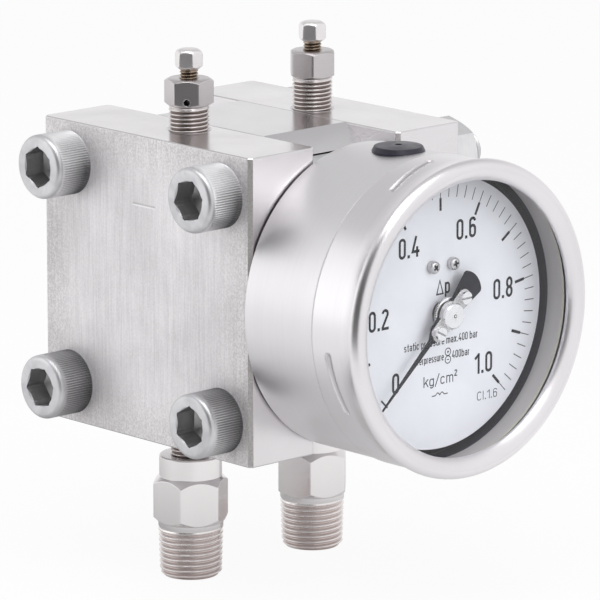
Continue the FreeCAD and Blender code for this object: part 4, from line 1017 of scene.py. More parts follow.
@dataclass(frozen=True)
class Thread:
    """Single right-hand thread with flat crests and roots.

    Args:
        pitch: Distance between turns.
        depth: Depth from crest to root.
        land: Share of the pitch that is flat at crest and root together.
        steps: Rings for each turn.
    """

    pitch: float
    depth: float
    land: float = 0.3
    steps: int = 14

    def cut(self, angle: float, height: float) -> float:
        """Depth below the crest at a point of the thread.

        Args:
            angle: Angle of the point, in radians.
            height: Its height.

        Returns:
            The depth.
        """
        phase = (height / self.pitch - angle / math.tau) % 1.0
        rise = (abs(2 * phase - 1) - self.land / 2) / (1 - self.land)
        return self.depth * (1 - min(max(rise, 0.0), 1.0))

    def rings(self, draft: Draft, crest: Callable[[float], float], low: float, high: float,
              fade: Pair = (0.0, 0.0)) -> list[list[int]]:
        """Rings of a threaded length.

        Args:
            draft: The mesh they belong to.
            crest: Radius over the crests at a height.
            low: Where the thread starts.
            high: Where it ends.
            fade: Lengths over which it fades out at either end.

        Returns:
            The rings, from low to high.
        """
        steps = max(2, round((high - low) / self.pitch * self.steps))
        made = []
        for step in range(steps + 1):
            height = low + (high - low) * step / steps
            offs = zip((height - low, high - height), fade)
            share = min([1.0, *(off / length for off, length in offs if length)])
            made.append(draft.ring(lambda angle: (crest(height) - share * self.cut(angle, height), height)))
        return made


def quarter(first: int = 0) -> list[float]:
    """Angles of a quarter turn in even steps, in radians."""
    return [math.radians(90 / ROUND_STEPS * step) for step in range(first, ROUND_STEPS + 1)]


def rounding(radius: float, height: float, bend: float) -> list[Pair]:
    """Radius and height along a rounded edge, from the flat out to the side."""
    return [(radius - bend * (1 - math.sin(turn)), height + bend * (1 - math.cos(turn))) for turn in quarter()]


def tooth(angle: float, radius: float, depth: float, teeth: int) -> float:
    """Radius of a straight knurl at an angle in radians."""
    return radius - depth * abs(2 * ((angle / math.tau * teeth) % 1.0) - 1)


def hex_radius(angle: float, flats: float, face: float) -> float:
    """Radius of a hexagon with its corners just broken.

    Args:
        angle: Where, in radians.
        flats: Width across flats.
        face: Angle of the middle of one flat, in degrees.

    Returns:
        The radius there.
    """
    sixth = math.tau / 6
    off = (angle - math.radians(face) + sixth / 2) % sixth - sixth / 2
    return min(flats / 2 / math.cos(off), 0.99 * flats / math.sqrt(3))


def hex_rings(draft: Draft, flats: float, face: float, ends: Pair, lands: Pair,
              slopes: Pair = (0.577, 0.577)) -> list[list[int]]:
    """Rings of a hexagon whose corners are turned off at both ends.

    Args:
        draft: The mesh they belong to.
        flats: Width across flats.
        face: Angle of the middle of one flat, in degrees.
        ends: Its lower and upper end.
        lands: Radius of the round land at either end.
        slopes: Height lost for each millimetre beyond the lands.

    Returns:
        The rings, from low to high.
    """
    def corner(angle: float, end: int) -> Pair:
        """Radius and height of one end's edge."""
        radius = hex_radius(angle, flats, face)
        loss = max(0.0, radius - lands[end]) * slopes[end]
        return radius, ends[end] + (loss, -loss)[end]

    return [draft.circle(lands[0], ends[0]), draft.ring(lambda angle: corner(angle, 0)),
            draft.ring(lambda angle: corner(angle, 1)), draft.circle(lands[1], ends[1])]


def upright(x: float) -> Matrix:
    """Place of a piece whose axis stands upright."""
    return Matrix.Translation((x, 0.0, 0.0))


def lengthways(y: float, z: float, x: float = 0.0) -> Matrix:
    """Place of a piece whose axis runs along X, its first direction along Y."""
    turn = Matrix(((0, 0, 1, 0), (1, 0, 0, 0), (0, 1, 0, 0), (0, 0, 0, 1)))
    return Matrix.Translation((x, y, z)) @ turn


def facing(x: float, y: float, z: float) -> Matrix:
    """Place of a piece that faces the dial's viewer: its X right, its Y up and its axis towards the viewer."""
    turn = Matrix(((1, 0, 0, 0), (0, 0, -1, 0), (0, 1, 0, 0), (0, 0, 0, 1)))
    return Matrix.Translation((x, y, z)) @ turn


# Sub-assemblies


@dataclass(frozen=True)
class ClampBolts:
    """Socket-head through-bolts with straight-knurled heads."""

    head: float = 10.5
    rim: float = 1.6
    head_top: float = -60.0
    seat: float = -46.0
    seat_edge: float = 0.5
    thread_start: float = 56.0
    end: float = 62.8
    end_edge: float = 1.0
    shank: float = 7.0
    socket: float = 12.0
    socket_depth: float = 7.5
    socket_taper: float = 0.985
    socket_round: float = 0.535
    socket_lip: float = 0.05
    cone: Pair = (0.3, 1.4)
    teeth: int = 81
    tooth_depth: float = 0.3
    knurl: Pair = (1.9, 13.5)
    run_out: Pair = (1.5, 0.2)
    angles: tuple[float, ...] = (1.0, 18.0, 21.0, 0.0)
    thread: Thread = Thread(2.0, 1.1)

    def build(self) -> None:
        """Build the four bolts."""
        places = [(y * BOLT_PITCH / 2, z * BOLT_PITCH / 2) for y in (-1, 1) for z in (-1, 1)]
        names = ("front_lower", "front_upper", "rear_lower", "rear_upper")
        for name, (y, z), angle in zip(names, places, self.angles):
            # The lower bolts take the darker copy of the knurl: painted shade.
            knurl = KNURL_FINISH if z > 0 else LOWER_KNURL_SHADE_FINISH
            add_piece(self.bolt(f"bolt_{name}", y, CELL_Z + z, angle), "housing",
                      [PLATED_FINISH, knurl, SOCKET_FINISH], "clamp_bolts")

    def bolt(self, name: str, y: float, z: float, angle: float) -> Mesh:
        """Mesh of one bolt.

        Args:
            name: The mesh's name.
            y: Place across the plate.
            z: Height of its axis.
            angle: Angle of one face of its socket, in degrees.

        Returns:
            The mesh.
        """
        draft = Draft(lengthways(y, z), self.teeth * 4, angle)
        top = self.head_top
        floor = top + self.socket_depth
        round_in = self.socket * self.socket_round

        def wall(at: float) -> float:
            """Radius of the socket's wall."""
            return hex_radius(at, self.socket, angle)

        def side(at: float) -> float:
            """Radius of the knurl."""
            return tooth(at - math.radians(angle), self.head, self.tooth_depth, self.teeth)

        def crest(along: float) -> float:
            """Radius over the thread's crests."""
            return min(self.shank, self.shank + self.end - self.end_edge - along)

        cone = draft.circle(self.socket * self.cone[0], floor + self.cone[1])
        draft.close(cone, Coat.THIRD)
        mouth = draft.ring(lambda at: (wall(at), top + max(0.0, round_in - wall(at)) + self.socket_lip))
        draft.chain([cone, draft.ring(lambda at: (wall(at) * self.socket_taper, floor)), mouth], Coat.THIRD)
        low, high = (top + along for along in self.knurl)
        rim = [mouth, draft.ring(lambda at: (max(wall(at), round_in), top)),
               *draft.circles(*rounding(self.head, top, self.rim), (self.head, low))]
        draft.chain(rim)
        grip = [rim[-1], draft.ring(lambda at: (side(at), low + self.run_out[0])),
                draft.ring(lambda at: (side(at), high - self.run_out[1])), draft.circle(self.head, high)]
        draft.chain(grip, Coat.SECOND)
        rest = [grip[-1], *draft.circles((self.head - self.seat_edge, self.seat), (self.shank, self.seat),
                                         (self.shank, self.thread_start))]
        turns = self.thread.rings(draft, crest, self.thread_start, self.end, (0.5, 0.0))
        draft.chain([*rest, turns[0]])
        draft.chain(turns, soft=True)
        draft.close(turns[-1])
        return draft.mesh(name)


@dataclass(frozen=True)
class Adapters:
    """Process connections: pipe thread, hexagon, round collar and a threaded neck into the plate."""

    faces: tuple[tuple[str, float], ...] = (("low", 243.0), ("high", 195.0))
    bore: float = 3.0
    mouth: float = 0.6
    pipe_radius: float = 10.65
    pipe_length: float = 17.9
    thread_end: float = 16.5
    taper: float = 1 / 32
    chamfer: float = 1.2
    flats: float = 22.0
    lands: Pair = (10.65, 10.3)
    slopes: Pair = (1.0, 1.05)
    hex_top: float = 33.3
    collar: float = 10.25
    collar_top: float = 40.2
    edge: float = 0.4
    neck: float = 6.58
    neck_ends: Pair = (40.0, 49.7)
    pipe: Thread = Thread(1.814, 1.1, 0.36)
    port: Thread = Thread(1.337, 0.85, 0.3)

    def build(self) -> None:
        """Build both adapters."""
        for side, face in self.faces:
            place = upright(SIDE_SIGN[side] * PORT_X)
            add_piece(self.adapter(f"{side}_adapter_threaded", place, face), "housing",
                      [TURNED_FINISH, PIPE_THREAD_FINISH], f"{side}_side_adapter")
            add_piece(self.neck_mesh(f"{side}_adapter_neck", place), "housing", [PORT_THREAD_FINISH])

    def crest(self, height: float) -> float:
        """Radius over the pipe thread's crests."""
        cone = self.pipe_radius - self.taper * (self.pipe_length - height)
        return min(cone, self.pipe_radius - self.taper * self.pipe_length - self.chamfer + height)

    def adapter(self, name: str, place: Matrix, face: float) -> Mesh:
        """Mesh of one adapter up to its collar.

        Args:
            name: The mesh's name.
            place: Place of its axis.
            face: Angle of the middle of one flat, in degrees.

        Returns:
            The mesh.
        """
        draft = Draft(place, 132, face)
        mouth = draft.circle(self.bore + self.mouth, 0.0)
        turns = self.pipe.rings(draft, self.crest, 0.0, self.thread_end, (0.4, 1.6))
        draft.bridge(mouth, turns[0])
        draft.chain(turns, Coat.SECOND, soft=True)
        grip = hex_rings(draft, self.flats, face, (self.pipe_length, self.hex_top), self.lands, self.slopes)
        draft.chain([turns[-1], draft.circle(self.pipe_radius, self.pipe_length), *grip, *draft.circles(
            (self.collar, self.hex_top), (self.collar, self.collar_top - self.edge),
            (self.collar - self.edge, self.collar_top), (self.bore, self.collar_top), (self.bore, self.mouth)), mouth])
        return draft.mesh(name)

    def neck_mesh(self, name: str, place: Matrix) -> Mesh:
        """Mesh of the threaded neck between collar and plate.

        Args:
            name: The mesh's name.
            place: Place of its axis.

        Returns:
            The mesh.
        """
        draft = Draft(place)
        low, high = self.neck_ends
        turns = self.port.rings(draft, lambda height: self.neck, low, high)
        draft.chain(turns, soft=True)
        draft.chain([turns[-1], *draft.circles((self.bore, high), (self.bore, low)), turns[0]])
        return draft.mesh(name)


@dataclass(frozen=True)
class Vents:
    """Vent valves: threaded bodies with a side outlet, and their small hexagon screws.

    Each side has its name, the height of its hexagon's foot, and the angle of a flat of hexagon and screw head.
    """

    stem: float = 6.58
    stem_edge: float = 0.3
    stem_foot: float = 145.7
    sides: tuple[tuple[str, float, float, float], ...] = (("low", 155.8, 222.2, 215.0), ("high", 158.4, 20.0, 213.0))
    flats: float = 14.0
    lands: Pair = (6.65, 6.51)
    hex_height: float = 8.6
    bore: float = 3.03
    bore_edge: float = 0.4
    outlet: float = 1.05
    outlet_height: float = 1.6
    outlet_edge: float = 0.2
    screw: float = 3.0
    screw_depth: float = 3.0
    neck: float = 3.0
    head_flats: float = 8.0
    head_height: float = 6.5
    head_land: float = 0.25
    crown: float = 1.15
    crown_flat: float = 2.5
    port: Thread = Thread(1.337, 0.75, 0.5)
    fine: Thread = Thread(1.0, 0.5, 0.3)

    def build(self) -> None:
        """Build both valves."""
        for side, foot, face, head_face in self.sides:
            x = SIDE_SIGN[side] * PORT_X
            add_piece(self.body(f"{side}_vent_hexagon", x, foot, face), "housing", [VENT_FINISH, BORE_FINISH],
                      f"{side}_vent_body")
            add_piece(self.stem_mesh(f"{side}_vent_stem", x, foot), "housing", [PORT_THREAD_FINISH])
            add_piece(self.screw_mesh(f"{side}_vent_plug_screw", x, foot + self.hex_height, head_face),
                      f"{side}_screw", [VENT_SCREW_FINISH, VENT_THREAD_FINISH], f"{side}_vent_screw")

    def body(self, name: str, x: float, foot: float, face: float) -> Mesh:
        """Mesh of a valve's hexagon with its outlet.

        Args:
            name: The mesh's name.
            x: Place of its axis.
            foot: Height of the hexagon's foot.
            face: Angle of the middle of one flat, in degrees.

        Returns:
            The mesh.
        """
        draft = Draft(upright(x), 120, face)
        top = foot + self.hex_height
        under = foot - self.stem_edge
        grip = hex_rings(draft, self.flats, face, (foot, top), self.lands)
        inside = draft.circles((self.bore + self.bore_edge, top), (self.bore, top - self.bore_edge),
                               (self.bore, under), (self.stem - 3 * self.stem_edge, under),
                               (self.stem - self.stem_edge, foot))
        draft.chain([*grip, *inside, grip[0]])
        turn = math.radians(face)
        tilt = Vector((math.cos(turn), math.sin(turn), 0.0)).to_track_quat("Z", "Y").to_matrix().to_4x4()
        tool = Draft(Matrix.Translation((x, 0.0, foot + self.outlet_height)) @ tilt, 32)
        flat, wide = self.flats / 2, self.outlet + self.outlet_edge
        rings = tool.circles((self.outlet, 1.5), (self.outlet, flat - 0.12), (wide, flat + 0.08), (wide, flat + 2.0))
        tool.close(rings[0], Coat.SECOND)
        tool.chain(rings[:2], Coat.SECOND)
        tool.chain(rings[1:])
        tool.close(rings[-1])
        return cut_away(draft.mesh(name), tool.mesh(f"{name}_outlet"))

    def stem_mesh(self, name: str, x: float, foot: float) -> Mesh:
        """Mesh of the threaded stem below the hexagon.

        Args:
            name: The mesh's name.
            x: Place of its axis.
            foot: Height of the hexagon's foot.

        Returns:
            The mesh.
        """
        draft = Draft(upright(x))
        turns = self.port.rings(draft, lambda height: self.stem, self.stem_foot, foot - 0.5, (0.0, 1.0))
        draft.chain(turns, soft=True)
        draft.chain([turns[-1], *draft.circles((self.stem - self.stem_edge, foot), (self.bore, foot),
                                               (self.bore, self.stem_foot)), turns[0]])
        return draft.mesh(name)

    def screw_mesh(self, name: str, x: float, seat: float, face: float) -> Mesh:
        """Mesh of a vent screw: threaded neck and domed hexagon head.

        Args:
            name: The mesh's name.
            x: Place of its axis.
            seat: Height of the valve's top.
            face: Angle of the middle of one flat, in degrees.

        Returns:
            The mesh.
        """
        draft = Draft(upright(x), 96, face)
        foot = seat + self.neck
        top = foot + self.head_height
        under = self.screw + self.head_land

        def low(at: float) -> Pair:
            """Lower edge of the head's flats."""
            radius = hex_radius(at, self.head_flats, face)
            return radius, foot + (radius - under) * 0.8

        def high(at: float) -> Pair:
            """Upper edge of the head's flats."""
            radius = hex_radius(at, self.head_flats, face)
            return radius, top - self.crown - (radius - self.head_flats / 2) * 0.9

        def dome(at: float, bend: float) -> Pair:
            """A point of the dome, from its edge at 0 to its flat at a right angle."""
            radius, edge = high(at)
            return (self.crown_flat + (radius - self.crown_flat) * math.cos(bend) ** 1.3,
                    edge + (top - edge) * math.sin(bend))

        turns = self.fine.rings(draft, lambda height: self.screw, seat - self.screw_depth, foot - 0.15, (0.4, 0.5))
        draft.close(turns[0])
        draft.chain(turns, Coat.SECOND, soft=True)
        side = [turns[-1], draft.circle(under, foot), draft.ring(low), draft.ring(high)]
        draft.chain(side)
        crown = [side[-1], *(draft.ring(lambda at: dome(at, bend)) for bend in quarter(1))]
        draft.chain(crown, soft=True)
        draft.close(crown[-1])
        return draft.mesh(name)


@dataclass(frozen=True)
class DialFace:
    """Print and screws of the dial. Places are right and up from its middle."""

    front: float = -86.9
    lift: float = 0.03
    start: float = -138.0
    sweep: float = 274.0
    ticks: int = 50
    mark_every: int = 5
    mark: Pair = (33.0, 37.1)
    tick: Pair = (37.1, 41.1)
    mark_width: float = 0.95
    tick_width: float = 0.28
    zero: Pair = (-136.0, 35.5)
    zero_size: Pair = (3.8, 0.6)
    figure_height: float = 6.7
    figures: tuple[tuple[str, Pair], ...] = (
        ("0", (-19.8, -19.7)), ("0.2", (-27.2, 1.7)), ("0.4", (-14.2, 23.1)), ("0.6", (10.75, 25.8)),
        ("0.8", (27.3, 4.0)), ("1.0", (18.85, -19.0)))
    quantity: Pair = (0.7, 8.6)
    quantity_height: float = 5.2
    words: tuple[tuple[str, Pair, Pair, float], ...] = (
        ("kg/cm²", (-0.3, -21.3), (14.8, 3.5), 0.105),
        ("Cl.1.6", (20.5, -29.7), (9.0, 2.9), 0.095),
        ("static pressure max.400 bar", (-0.05, -9.0), (32.4, 2.5), 0.13),
        ("overpressure", (-5.35, -14.2), (13.0, 2.5), 0.13),
        ("400bar", (8.7, -14.2), (7.8, 2.5), 0.13))
    signs: tuple[tuple[Pair, bool], ...] = (((3.0, -13.0), True), ((3.0, -15.5), False))
    sign_radius: float = 1.2
    sign_arm: float = 0.5
    sign_width: Pair = (0.3, 0.28)
    wave: Pair = (-0.5, -26.4)
    wave_size: Pair = (3.8, 0.75)
    wave_arm: float = 3.5
    wave_width: float = 0.32
    screw_place: Pair = (4.35, 15.5)
    screw_turns: tuple[tuple[str, float, float], ...] = (("left", -1.0, 40.0), ("right", 1.0, 12.0))
    screw_head: float = 2.05
    screw_height: float = 2.2
    screw_side: float = 1.32
    screw_shank: float = 1.25
    recess: tuple[tuple[float, float, float], ...] = ((1.3, 0.6, 0.24), (2.6, 1.4, 0.4))

    def build(self) -> None:
        """Print the dial and set its screws."""
        draft = Draft(facing(0.0, self.front - self.lift, CELL_Z))
        self.scale(draft)
        for text, middle in self.figures:
            Lettering.row(draft, text, middle, self.figure_height)
        Lettering.row(draft, "Dp", self.quantity, self.quantity_height)
        for text, middle, (width, height), stroke in self.words:
            Lettering.row(draft, text, middle, height, width, stroke)
        self.symbols(draft)
        add_piece(draft.mesh("dial_print", closed=False), "housing", [INK_FINISH])
        for name, sign, turn in self.screw_turns:
            add_piece(self.screw(f"dial_screw_{name}", sign * self.screw_place[0], turn), "housing",
                      [SCREW_FINISH, BORE_FINISH], "dial_screws")

    def scale(self, draft: Draft) -> None:
        """Add the scale's marks and ticks, and the bar across its zero.

        Args:
            draft: The print's mesh.
        """
        def bar(angle: float, reach: Pair, width: float) -> None:
            """Add a straight mark that runs out from the middle."""
            out = Vector((math.sin(angle), math.cos(angle)))
            Lettering.ribbon(draft, [out * reach[0], out * reach[1]], False, width)

        for step in range(self.ticks + 1):
            angle = math.radians(self.start + self.sweep * step / self.ticks)
            bar(angle, self.tick, self.tick_width)
            if step % self.mark_every == 0 and step:
                bar(angle, self.mark, self.mark_width)
        turn, (long, thick) = math.radians(self.zero[0]), self.zero_size
        out, side = Vector((math.sin(turn), math.cos(turn))), Vector((math.cos(turn), -math.sin(turn)))
        ends = [out * self.zero[1] + side * (sign * long / 2) for sign in (-1, 1)]
        Lettering.ribbon(draft, ends, False, thick)

    def symbols(self, draft: Draft) -> None:
        """Add the ringed plus and minus and the wave line.

        Args:
            draft: The print's mesh.
        """
        arm, (ring, thin) = self.sign_arm, self.sign_width
        for (x, y), upright_too in self.signs:
            Lettering.ribbon(draft, Lettering.arc((x, y), (self.sign_radius,) * 2, 0, 360, 28)[:-1], True, ring)
            Lettering.ribbon(draft, [(x - arm, y), (x + arm, y)], False, thin)
            if upright_too:
                Lettering.ribbon(draft, [(x, y - arm), (x, y + arm)], False, thin)
        (x, y), (long, high), steps = self.wave, self.wave_size, 24
        humps = [(x - long / 2 + long * step / steps, y + high * abs(math.sin(math.tau * step / steps)))
                 for step in range(steps + 1)]
        Lettering.ribbon(draft, [(x - self.wave_arm, y), *humps, (x + self.wave_arm, y)], False, self.wave_width)

    def screw(self, name: str, x: float, turn: float) -> Mesh:
        """Mesh of one flat pan-head screw with a cross recess.

        Args:
            name: The mesh's name.
            x: Place to the right of the dial's middle.
            turn: Angle of the recess, in degrees.

        Returns:
            The mesh.
        """
        place = facing(x, self.front, CELL_Z + self.screw_place[1])
        draft = Draft(place, 64)
        head, high, side, shank = self.screw_head, self.screw_height, self.screw_side, self.screw_shank
        dome = [(head * (0.62 + 0.38 * math.cos(bend)), side + (high - side) * math.sin(bend)) for bend in quarter(1)]
        rings = draft.circles((shank, -2.0), (shank, 0.0), (head, 0.0), (head, side), *dome)
        draft.close(rings[0])
        draft.chain(rings)
        draft.close(rings[-1])
        mesh = draft.mesh(name)
        for quarter_turn in (0, 90):
            tool = Draft(place @ Matrix.Rotation(math.radians(turn + quarter_turn), 4, "Z"))
            low, top = (tool.flat([(-half, -thin), (half, -thin), (half, thin), (-half, thin)], height)
                        for height, half, thin in self.recess)
            tool.face(low[::-1], Coat.SECOND)
            tool.face(top, Coat.SECOND)
            tool.bridge(low, top, Coat.SECOND)
            mesh = cut_away(mesh, tool.mesh(f"{name}_recess_{quarter_turn}"))
            mesh.name = name
        return mesh


class Lettering:
    """Narrow figures and letters drawn as strokes, one unit from foot to top."""

    STROKE = 0.135
    GAP = 0.11
    WIDTH = 0.46
    WIDTHS = {"1": 0.31, "4": 0.51, ".": 0.15, "D": 0.62, "p": 0.43, "m": 0.70, "i": 0.14, "l": 0.14, "r": 0.32,
              "t": 0.32, " ": 0.16, "/": 0.40, "²": 0.26, "C": 0.52}
    STROKES = {".": 0.15, "D": 0.095}
    LOW = 0.72
    TAIL = -0.20
    RAISED = 0.56

    @staticmethod
    def arc(middle: Pair, radii: Pair, start: float, end: float, steps: int = 12) -> list[Pair]:
        """Points along an arc, from one angle to another in degrees."""
        turns = [math.radians(start + (end - start) * step / steps) for step in range(steps + 1)]
        return [(middle[0] + radii[0] * math.cos(turn), middle[1] + radii[1] * math.sin(turn)) for turn in turns]

    @classmethod
    def strokes(cls, sign: str, stroke: float) -> list[tuple[list[Pair], bool]]:
        """Middle lines of one sign, each with whether it closes.

        Args:
            sign: One character. D stands for the difference sign.
            stroke: Width of its lines.

        Returns:
            The lines.
        """
        if sign == "²":
            return [([(x * cls.RAISED, 0.50 + y * cls.RAISED) for x, y in line], shut)
                    for line, shut in cls.strokes("2", stroke)]
        width, half, low = cls.WIDTHS.get(sign, cls.WIDTH), stroke / 2, cls.LOW
        mid, end, arm = width / 2, width - half, width / 2 - half
        both = (arm, arm)

        def line(*points: Pair) -> tuple[list[Pair], bool]:
            """An open line."""
            return list(points), False

        def stem(x: float, foot: float, top: float) -> tuple[list[Pair], bool]:
            """An upright line."""
            return line((x, foot), (x, top))

        def hook(top: float, start: float, stop: float) -> list[Pair]:
            """Points over the top, down the left side and round the foot."""
            return cls.arc((mid, top - half - arm), both, start, 180) + cls.arc((mid, half + arm), both, 180, stop)

        def oval(foot: float, top: float, slim: float = 1.0) -> tuple[list[Pair], bool]:
            """A closed oval."""
            radii = (arm * slim, (top - foot) / 2 - half)
            return cls.arc((mid, (foot + top) / 2), radii, 0, 360, 20)[:-1], True

        def hump(at: int) -> tuple[list[Pair], bool]:
            """An arch with its right leg, by its middle in quarters of the width."""
            size = (end - half) / 4
            over = cls.arc((half + size * at, low - half - size), (size, size), 180, 0)
            return line(*over, (half + size * (at + 1), 0.0))

        bowl = (hook(low, 0, 360), True)
        wave = (arm, (low - stroke) / 4)
        tail = (mid, cls.TAIL + half + arm)
        lines = {
            "0": [(hook(1.0, 0, 360), True)],
            "1": [line((0.0, 0.74), (end, 0.93)), stem(end, 0.0, 1.0)],
            "2": [line(*cls.arc((mid, 1 - half - arm), both, 172, -28), (half, stroke), (half, half), (width, half))],
            "4": [line((0.30, 1.0), (half, 0.27), (width, 0.27)), stem(0.36, 0.0, 0.5)],
            "6": [line(*hook(1.0, 8, 360), *cls.arc((mid, 0.42), both, 0, 165))],
            "8": [oval(0.5 - half, 1.0, 0.93), oval(0.0, 0.5 + half)],
            ".": [stem(mid, 0.0, stroke)],
            "D": [([(half, half), (end, half), (mid, 0.9)], True)],
            "a": [line(*cls.arc((mid, low - half - arm), both, 160, 0), (end, 0.0)), oval(0.0, 0.45)],
            "b": [stem(half, 0.0, 1.0), bowl],
            "c": [line(*hook(low, 25, 335))],
            "e": [line((half, low / 2), (end, low / 2), *hook(low, 0, 330))],
            "g": [bowl, line((end, low), (end, tail[1]), *cls.arc(tail, both, 0, -150))],
            "i": [stem(mid, 0.0, low), stem(mid, 0.86, 1.0)],
            "k": [stem(half, 0.0, 1.0), line((width, low), (half, 0.28)), line((mid, 0.45), (width, 0.0))],
            "l": [stem(mid, 0.0, 1.0)],
            "m": [stem(half, 0.0, low), hump(1), hump(3)],
            "o": [bowl],
            "p": [stem(half, cls.TAIL, low), bowl],
            "r": [stem(half, 0.0, low), line(*cls.arc((end, low - half - arm), (2 * arm, arm), 180, 95))],
            "s": [line(*cls.arc((mid, low - half - wave[1]), wave, 25, 270),
                       *cls.arc((mid, half + wave[1]), wave, 90, -155))],
            "t": [line((mid, 0.94), (mid, half), (width, half)), line((0.0, low - half), (width, low - half))],
            "u": [line((half, low), *cls.arc((mid, half + arm), both, 180, 360)), stem(end, 0.0, low)],
            "v": [line((half, low), (mid, half), (end, low))],
            "x": [line((half, 0.0), (end, low)), line((half, low), (end, 0.0))],
            "C": [line(*hook(1.0, 25, 335))],
            "/": [line((0.0, -0.12), (width, 1.05))]}
        return lines.get(sign, [])

    @classmethod
    def ribbon(cls, draft: Draft, points: Sequence[Pair | Vector], closed: bool, width: float) -> None:
        """Add a flat line of even width.

        Args:
            draft: The mesh it belongs to.
            points: Its middle line.
            closed: Whether its end meets its start.
            width: Its width.
        """
        line = [Vector(point) for point in points]
        size = len(line)
        left, right = [], []
        for step, here in enumerate(line):
            before = line[step - 1] if closed or step else here
            after = line[(step + 1) % size] if closed or step < size - 1 else here
            first = (here - before).normalized() if here != before else (after - here).normalized()
            second = (after - here).normalized() if after != here else first
            normal = Vector((-first.y - second.y, first.x + second.x)).normalized()
            cosine = max(0.5, normal.dot(Vector((-first.y, first.x))))
            left.append(here + normal * width / 2 / cosine)
            right.append(here - normal * width / 2 / cosine)
        laid = draft.flat(left + right)
        for step in range(size if closed else size - 1):
            after = (step + 1) % size
            draft.face((laid[size + step], laid[size + after], laid[after], laid[step]))

    @classmethod
    def row(cls, draft: Draft, text: str, middle: Pair, height: float, width: float = 0.0,
            stroke: float = STROKE) -> None:
        """Add a row of signs.

        Args:
            draft: The mesh they belong to.
            text: The signs.
            middle: Middle of the row, half way up its figures.
            height: Height of figures and capitals.
            width: Width that the row is fitted to, or 0 for its own.
            stroke: Width of the lines, as a share of the height.
        """
        length = sum(cls.WIDTHS.get(sign, cls.WIDTH) for sign in text) + cls.GAP * (len(text) - 1)
        stretch = width / length or height
        x = middle[0] - length * stretch / 2
        for sign in text:
            thick = cls.STROKES.get(sign, stroke)
            for points, closed in cls.strokes(sign, thick):
                placed = [(x + px * stretch, middle[1] + (py - 0.5) * height) for px, py in points]
                cls.ribbon(draft, placed, closed, thick * height)
            x += (cls.WIDTHS.get(sign, cls.WIDTH) + cls.GAP) * stretch


@dataclass(frozen=True)
class Diaphragms:
    """Corrugated discs in segments, which span between the held rim and the moving rod."""

    hole: float = 2.1
    collar: float = 9.0
    chamber: float = 30.0
    radius: float = 35.0
    seat: float = 17.7
    thick: float = 0.3
    wave: float = 0.8
    waves: int = 4
    wave_steps: int = 10
    segments: int = 6
    segment_steps: int = 14
    still: float = 25.9
    moved: float = 9.3

    def build(self) -> None:
        """Build both discs, each segment on no body."""
        for side, sign in SIDE_SIGN.items():
            for number in range(self.segments):
                middle = math.tau * (number + 0.5) / self.segments
                mesh = self.segment(f"{side}_diaphragm_{number + 1}", sign, middle)
                piece = add_piece(mesh, None, [FINE_FINISH], f"{side}_side_diaphragm")
                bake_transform(piece)

    def point(self, sign: float, radius: float, angle: float, lift: float) -> Vector:
        """A point on a disc.

        Args:
            sign: Which side of the cell the disc lies on.
            radius: The point's radius.
            angle: Its angle, in radians.
            lift: Its height over the disc's inner face.

        Returns:
            The point, in millimetres.
        """
        share = (radius - self.collar) / (self.chamber - self.collar)
        swell = self.wave * math.sin(math.pi * self.waves * share) ** 2 if 0 < share < 1 else 0.0
        return Vector((sign * (self.seat + swell + lift), radius * math.cos(angle), CELL_Z + radius * math.sin(angle)))

    def segment(self, name: str, sign: float, middle: float) -> Mesh:
        """Build one segment of a disc.

        Args:
            name: The mesh's name.
            sign: Which side of the cell it lies on.
            middle: Angle of its middle, in radians.

        Returns:
            The mesh.
        """
        fine = self.waves * self.wave_steps
        radii = [self.hole, *(self.collar + (self.chamber - self.collar) * step / fine for step in range(fine + 1)),
                 self.radius]
        loop = [(radius, 0.0) for radius in radii] + [(radius, self.thick) for radius in reversed(radii)]
        draft = Draft()
        rows = []
        for step in range(self.segment_steps + 1):
            angle = middle + math.pi / self.segments * (2 * step / self.segment_steps - 1)
            rows.append(draft.add(self.point(sign, radius, angle, lift) for radius, lift in loop))
        draft.chain(rows)
        for row in (rows[0], rows[-1]):
            for step in range(len(radii) - 1):
                draft.face((row[step], row[step + 1], row[-2 - step], row[-1 - step]))
        return draft.mesh(name)


@dataclass(frozen=True)
class CaseRim:
    """Rolled rim round the back of the case, close to the plates."""

    radius: float = 49.52
    seat: float = 49.2
    inner: float = 43.5
    front: float = -59.0
    run_out: Pair = (0.04, 4.0)
    sheet: float = -52.2
    back: float = -50.6
    bend: float = 0.9

    def build(self) -> None:
        """Build the rim, which runs out into the case's sheet."""
        draft = Draft(facing(0.0, 0.0, CELL_Z), 192)
        drop, length = self.run_out
        rings = draft.circles(
            (self.inner, -self.back), *rounding(self.radius, -self.back, self.bend),
            (self.radius, -self.front - length), (self.radius - drop, -self.front), (self.seat, -self.front),
            (self.seat, -self.sheet), (self.inner, -self.sheet))
        draft.chain([*rings, rings[0]])
        add_piece(draft.mesh("case_back_rim"), "housing", [CASE_FINISH])


